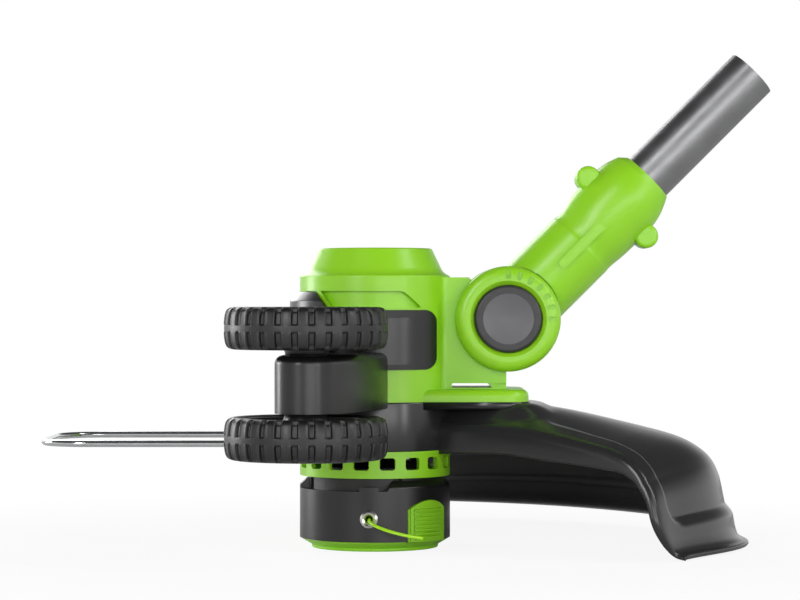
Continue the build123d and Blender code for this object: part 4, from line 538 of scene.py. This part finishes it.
    # the inner end is closed by a strip, inside the collar
    last = np.arange(columns - 1)
    strip = np.stack([last, last + 1, last + 1 + rows * columns, last + rows * columns], axis=1)
    points = np.vstack([(middle - across).reshape(-1, 3), (middle + across).reshape(-1, 3)])
    points[:, 2] = np.maximum(points[:, 2], g["ground"])
    return points, np.vstack([faces, faces + rows * columns, strip])


def collarRing():
    # a ring round the motor housing's spigot: a box with quarter circles at its corners, turned once round
    g = lineGuard["collar"]
    high, low = g["top"] - g["corner"], g["bottom"] + g["corner"]
    wide, narrow = g["outer"] - g["corner"], g["inner"] + g["corner"]
    middles = np.repeat([(wide, high), (narrow, high), (narrow, low), (wide, low)], g["cornerPoints"], axis=0)
    quarter = np.linspace(0, np.pi / 2, g["cornerPoints"])
    bend = (quarter[None, :] + np.arange(4)[:, None] * np.pi / 2).ravel()
    r = middles[None, :, 0] + g["corner"] * np.cos(bend)
    z = middles[None, :, 1] + g["corner"] * np.sin(bend)
    around = np.linspace(0, 2 * np.pi, g["sides"], endpoint=False)[:, None]
    points = np.stack([r * np.cos(around), r * np.sin(around), z + 0 * around], axis=-1)
    return points.reshape(-1, 3), gridFaces(g["sides"], len(bend), True, True)


def mountingPlate():
    # one outline at each level, a long loop round at its tip, closed above and below by a fan to the middle
    g = lineGuard["plate"]
    turn = np.linspace(-np.pi / 2, np.pi / 2, g["tipPoints"])
    inset, level = np.array(g["levels"]).T[:, :, None]
    bend = g["corner"] + g["margin"] - inset
    tipX = g["reach"] + bend * np.cos(turn)
    tipY = np.sign(np.sin(turn)) * g["halfWidth"] + bend * np.sin(turn)
    edge = math.asin((g["halfWidth"] + g["corner"] + g["margin"]) / g["inner"])
    back = np.linspace(edge, -edge, g["innerPoints"]) + 0 * level
    x = np.hstack([tipX, g["inner"] * np.cos(back)])
    y = np.hstack([tipY, g["inner"] * np.sin(back)])
    rings = np.stack([x, y, level + 0 * x], axis=-1)
    fans = rings[[0, -1]].copy()
    fans[..., :2] = g["middle"]
    closed = np.concatenate([fans[:1], rings, fans[1:]])
    return closed.reshape(-1, 3), gridFaces(len(closed), x.shape[1], False, True)


newPiece("line_guard", [guardSheet(), collarRing(), mountingPlate()], "mouldedBlackPolypropylene",
         "head", "guard_plastic", "guard")

print("line guard: moulded")


# tyres with two rows of notches round the tread

tyre = {
    "place": (-31.0, -100.0),
    "foot": {"lower": 49.0, "upper": 100.0},
    "radius": 38.1,
    "seat": (30.0, 1.2),        # radius inside, and how far its edge lies in from the side
    # from the side wall to the middle of the tread: how far in from the radius and from the side
    "shoulder": [(5.6, 0.1), (3.2, 0.25), (1.1, 2.0), (0.25, 5.5)],
    "width": 20.0,
    "sectionPoints": 76,
    "notches": 30,
    "notchWidth": 2.8,
    "notchDepth": 1.6,
    "notchSlope": 0.25,         # half the width of a notch's sloping side
    "notchStart": (1.5, 2.0),   # from the tyre's middle plane out over the shoulder
    "notchEnd": (9.0, 10.0),
    "treadFrom": (6.0, 4.5),    # the side wall below this depth stays smooth
    "ridge": 0.2,               # raised edge round each notch, and how it rises and falls beside it
    "ridgeRise": (0.0, 0.35),
    "ridgeFall": (0.6, 1.3),
    "columns": [0, 0.6, 1.1, 1.35, 1.55, 1.75, 2.1, 2.6, 3.2],  # distances from a notch's middle
}


def tyreSurface(foot):
    # a closed section carried round the axle, each point moved across the surface: in where a notch is, out at
    # the ridge beside it
    r, w = tyre["radius"], tyre["width"] / 2
    seat, seatEdge = tyre["seat"]
    side = [(seat, seatEdge - w)] + [(r - inwards, down - w) for inwards, down in tyre["shoulder"]]
    section = smoothThrough(side + [(r, 0)] + [(x, -z) for x, z in reversed(side)], tyre["sectionPoints"])
    edge = np.gradient(section, axis=0)
    edge /= np.linalg.norm(edge, axis=1, keepdims=True)
    outX, outZ = edge[None, :, 1], -edge[None, :, 0]
    pitch = 2 * np.pi * r / tyre["notches"]
    steps = np.array(tyre["columns"] + [pitch / 2])
    steps = np.concatenate([-steps[:0:-1], steps[:-1]])
    across = np.tile(steps, tyre["notches"])
    turn = (np.repeat(np.arange(tyre["notches"]), len(steps)) * pitch + across)[:, None] / r
    # a notch is where three soft steps meet: across it, along it, and on the tread
    height = np.abs(section[None, :, 1])
    beside = np.abs(across)[:, None] - tyre["notchWidth"] / 2
    tread = easeStep(height, *tyre["notchStart"]) * (1 - easeStep(height, *tyre["notchEnd"]))
    deep, shallow = tyre["treadFrom"]
    tread = tread * easeStep(section[None, :, 0], r - deep, r - shallow)
    notch = (1 - easeStep(beside, -tyre["notchSlope"], tyre["notchSlope"])) * tread
    ridge = easeStep(beside, *tyre["ridgeRise"]) * (1 - easeStep(beside, *tyre["ridgeFall"])) * tread
    shift = tyre["ridge"] * (ridge - 1) - tyre["notchDepth"] * notch
    radius = section[None, :, 0] + outX * shift
    x, y = tyre["place"][0] + radius * np.cos(turn), tyre["place"][1] + radius * np.sin(turn)
    z = foot + w + section[None, :, 1] + outZ * shift
    # the section is closed by the seat, a plain cylinder on the hub
    return np.stack([x, y, z], axis=-1).reshape(-1, 3), gridFaces(len(across), len(section), True, True)


for name, foot in tyre["foot"].items():
    newPiece("tyre_" + name, [tyreSurface(foot)], "mouldedTyreRubber", name + "_wheel", "tyre_rubber",
             "wheel_tyre_" + name)

print("tyres: moulded")


# studio: a floor that melts into white away from the piece, soft boxes, and a sky that darkens overhead

studio = {
    "floorSize": 12.0,
    "floorColour": "#f2f2f0",
    "glowNear": 0.9,            # share of the floor's white that no shadow takes away, close to the piece
    "glowReach": (0.15, 0.42),
    "skyLow": 1.1,              # brightness level with the eye
    "skyHigh": 0.1,             # brightness overhead
    "skyBand": (0.08, 0.42),    # between these heights it goes from one to the other
    "aim": (0.03, 0.0, 0.08),
    "lamps": {
        "keyBox": dict(place=(-1.0, -1.9, 0.9), size=(0.5, 1.3), power=21.0),
        "fillBox": dict(place=(1.5, -1.5, 0.5), size=(0.2, 1.2), power=7.0),
        "leftBox": dict(place=(-1.8, 0.8, 0.35), size=(0.5, 1.2), power=22.0),
        "lowBox": dict(place=(0.6, -2.0, 0.22), size=(1.3, 0.4), power=7.0),
        "topBox": dict(place=(1.5, -0.5, 1.1), size=(0.4, 1.2), power=10.0),
        "backBox": dict(place=(-0.8, 1.8, 0.9), size=(1.0, 1.0), power=14.0),
    },
}

for name, lamp in studio["lamps"].items():
    lampData = bpy.data.lights.new(name, "AREA")
    lampData.shape = "RECTANGLE"
    lampData.size, lampData.size_y = lamp["size"]
    lampData.energy = lamp["power"]
    lampObject = bpy.data.objects.new(name, lampData)
    lampObject.location = lamp["place"]
    x, y, z = np.array(studio["aim"]) - np.array(lamp["place"])
    lampObject.rotation_euler = (math.atan2(math.hypot(x, y), -z), 0, math.atan2(-x, y))
    scene.collection.objects.link(lampObject)

white = (1, 1, 1, 1)
world = bpy.data.worlds.new("studio")
scene.world = world
world.use_nodes = True
sky = world.node_tree
sky.nodes.clear()
direction = addNode(sky, "ShaderNodeTexCoord").outputs["Generated"]
skyHeight = addNode(sky, "ShaderNodeSeparateXYZ", links={"Vector": direction}).outputs["Z"]
level = addNode(sky, "ShaderNodeMapRange", settings={"interpolation_type": "SMOOTHSTEP"},
                values={"From Min": studio["skyBand"][0], "From Max": studio["skyBand"][1],
                        "To Min": studio["skyLow"], "To Max": studio["skyHigh"]},
                links={"Value": skyHeight}).outputs["Result"]
surroundings = addNode(sky, "ShaderNodeBackground", values={"Color": white}, links={"Strength": level})
backdrop = addNode(sky, "ShaderNodeBackground", values={"Color": white, "Strength": 1.0})
rays = addNode(sky, "ShaderNodeLightPath")
seen = addNode(sky, "ShaderNodeMixShader", links={0: rays.outputs["Is Camera Ray"],
                                                  1: surroundings.outputs["Background"],
                                                  2: backdrop.outputs["Background"]})
addNode(sky, "ShaderNodeOutputWorld", links={"Surface": seen.outputs["Shader"]})

floorHalf = studio["floorSize"] / 2
floorCorners = [(x * floorHalf, y * floorHalf, 0) for x, y in ((-1, -1), (1, -1), (1, 1), (-1, 1))]
floorMesh = bpy.data.meshes.new("floor")
floorMesh.from_pydata(floorCorners, [], [(0, 1, 2, 3)])
floorMaterial = bpy.data.materials.new("paleFloor")
floorMaterial.use_nodes = True
floorTree = floorMaterial.node_tree
floorTree.nodes.clear()
paint = addNode(floorTree, "ShaderNodeBsdfDiffuse", values={"Color": linearColour(studio["floorColour"])})
glow = addNode(floorTree, "ShaderNodeEmission", values={"Color": white, "Strength": 1.0})
floorRays = addNode(floorTree, "ShaderNodeLightPath")
floorPlace = addNode(floorTree, "ShaderNodeTexCoord").outputs["Object"]
away = addNode(floorTree, "ShaderNodeVectorMath", settings={"operation": "LENGTH"},
               links={0: floorPlace}).outputs["Value"]
glowLevel = addNode(floorTree, "ShaderNodeMapRange", settings={"interpolation_type": "SMOOTHSTEP"},
                    values={"From Min": studio["glowReach"][0], "From Max": studio["glowReach"][1],
                            "To Min": studio["glowNear"], "To Max": 1.0},
                    links={"Value": away}).outputs["Result"]
share = addNode(floorTree, "ShaderNodeMath", settings={"operation": "MULTIPLY"},
                links={0: glowLevel, 1: floorRays.outputs["Is Camera Ray"]})
floorMix = addNode(floorTree, "ShaderNodeMixShader", links={0: share.outputs["Value"],
                                                            1: paint.outputs["BSDF"],
                                                            2: glow.outputs["Emission"]})
addNode(floorTree, "ShaderNodeOutputMaterial", links={"Surface": floorMix.outputs["Shader"]})
floorMesh.materials.append(floorMaterial)
floor = bpy.data.objects.new("floor", floorMesh)
scene.collection.objects.link(floor)

print("studio: lit")
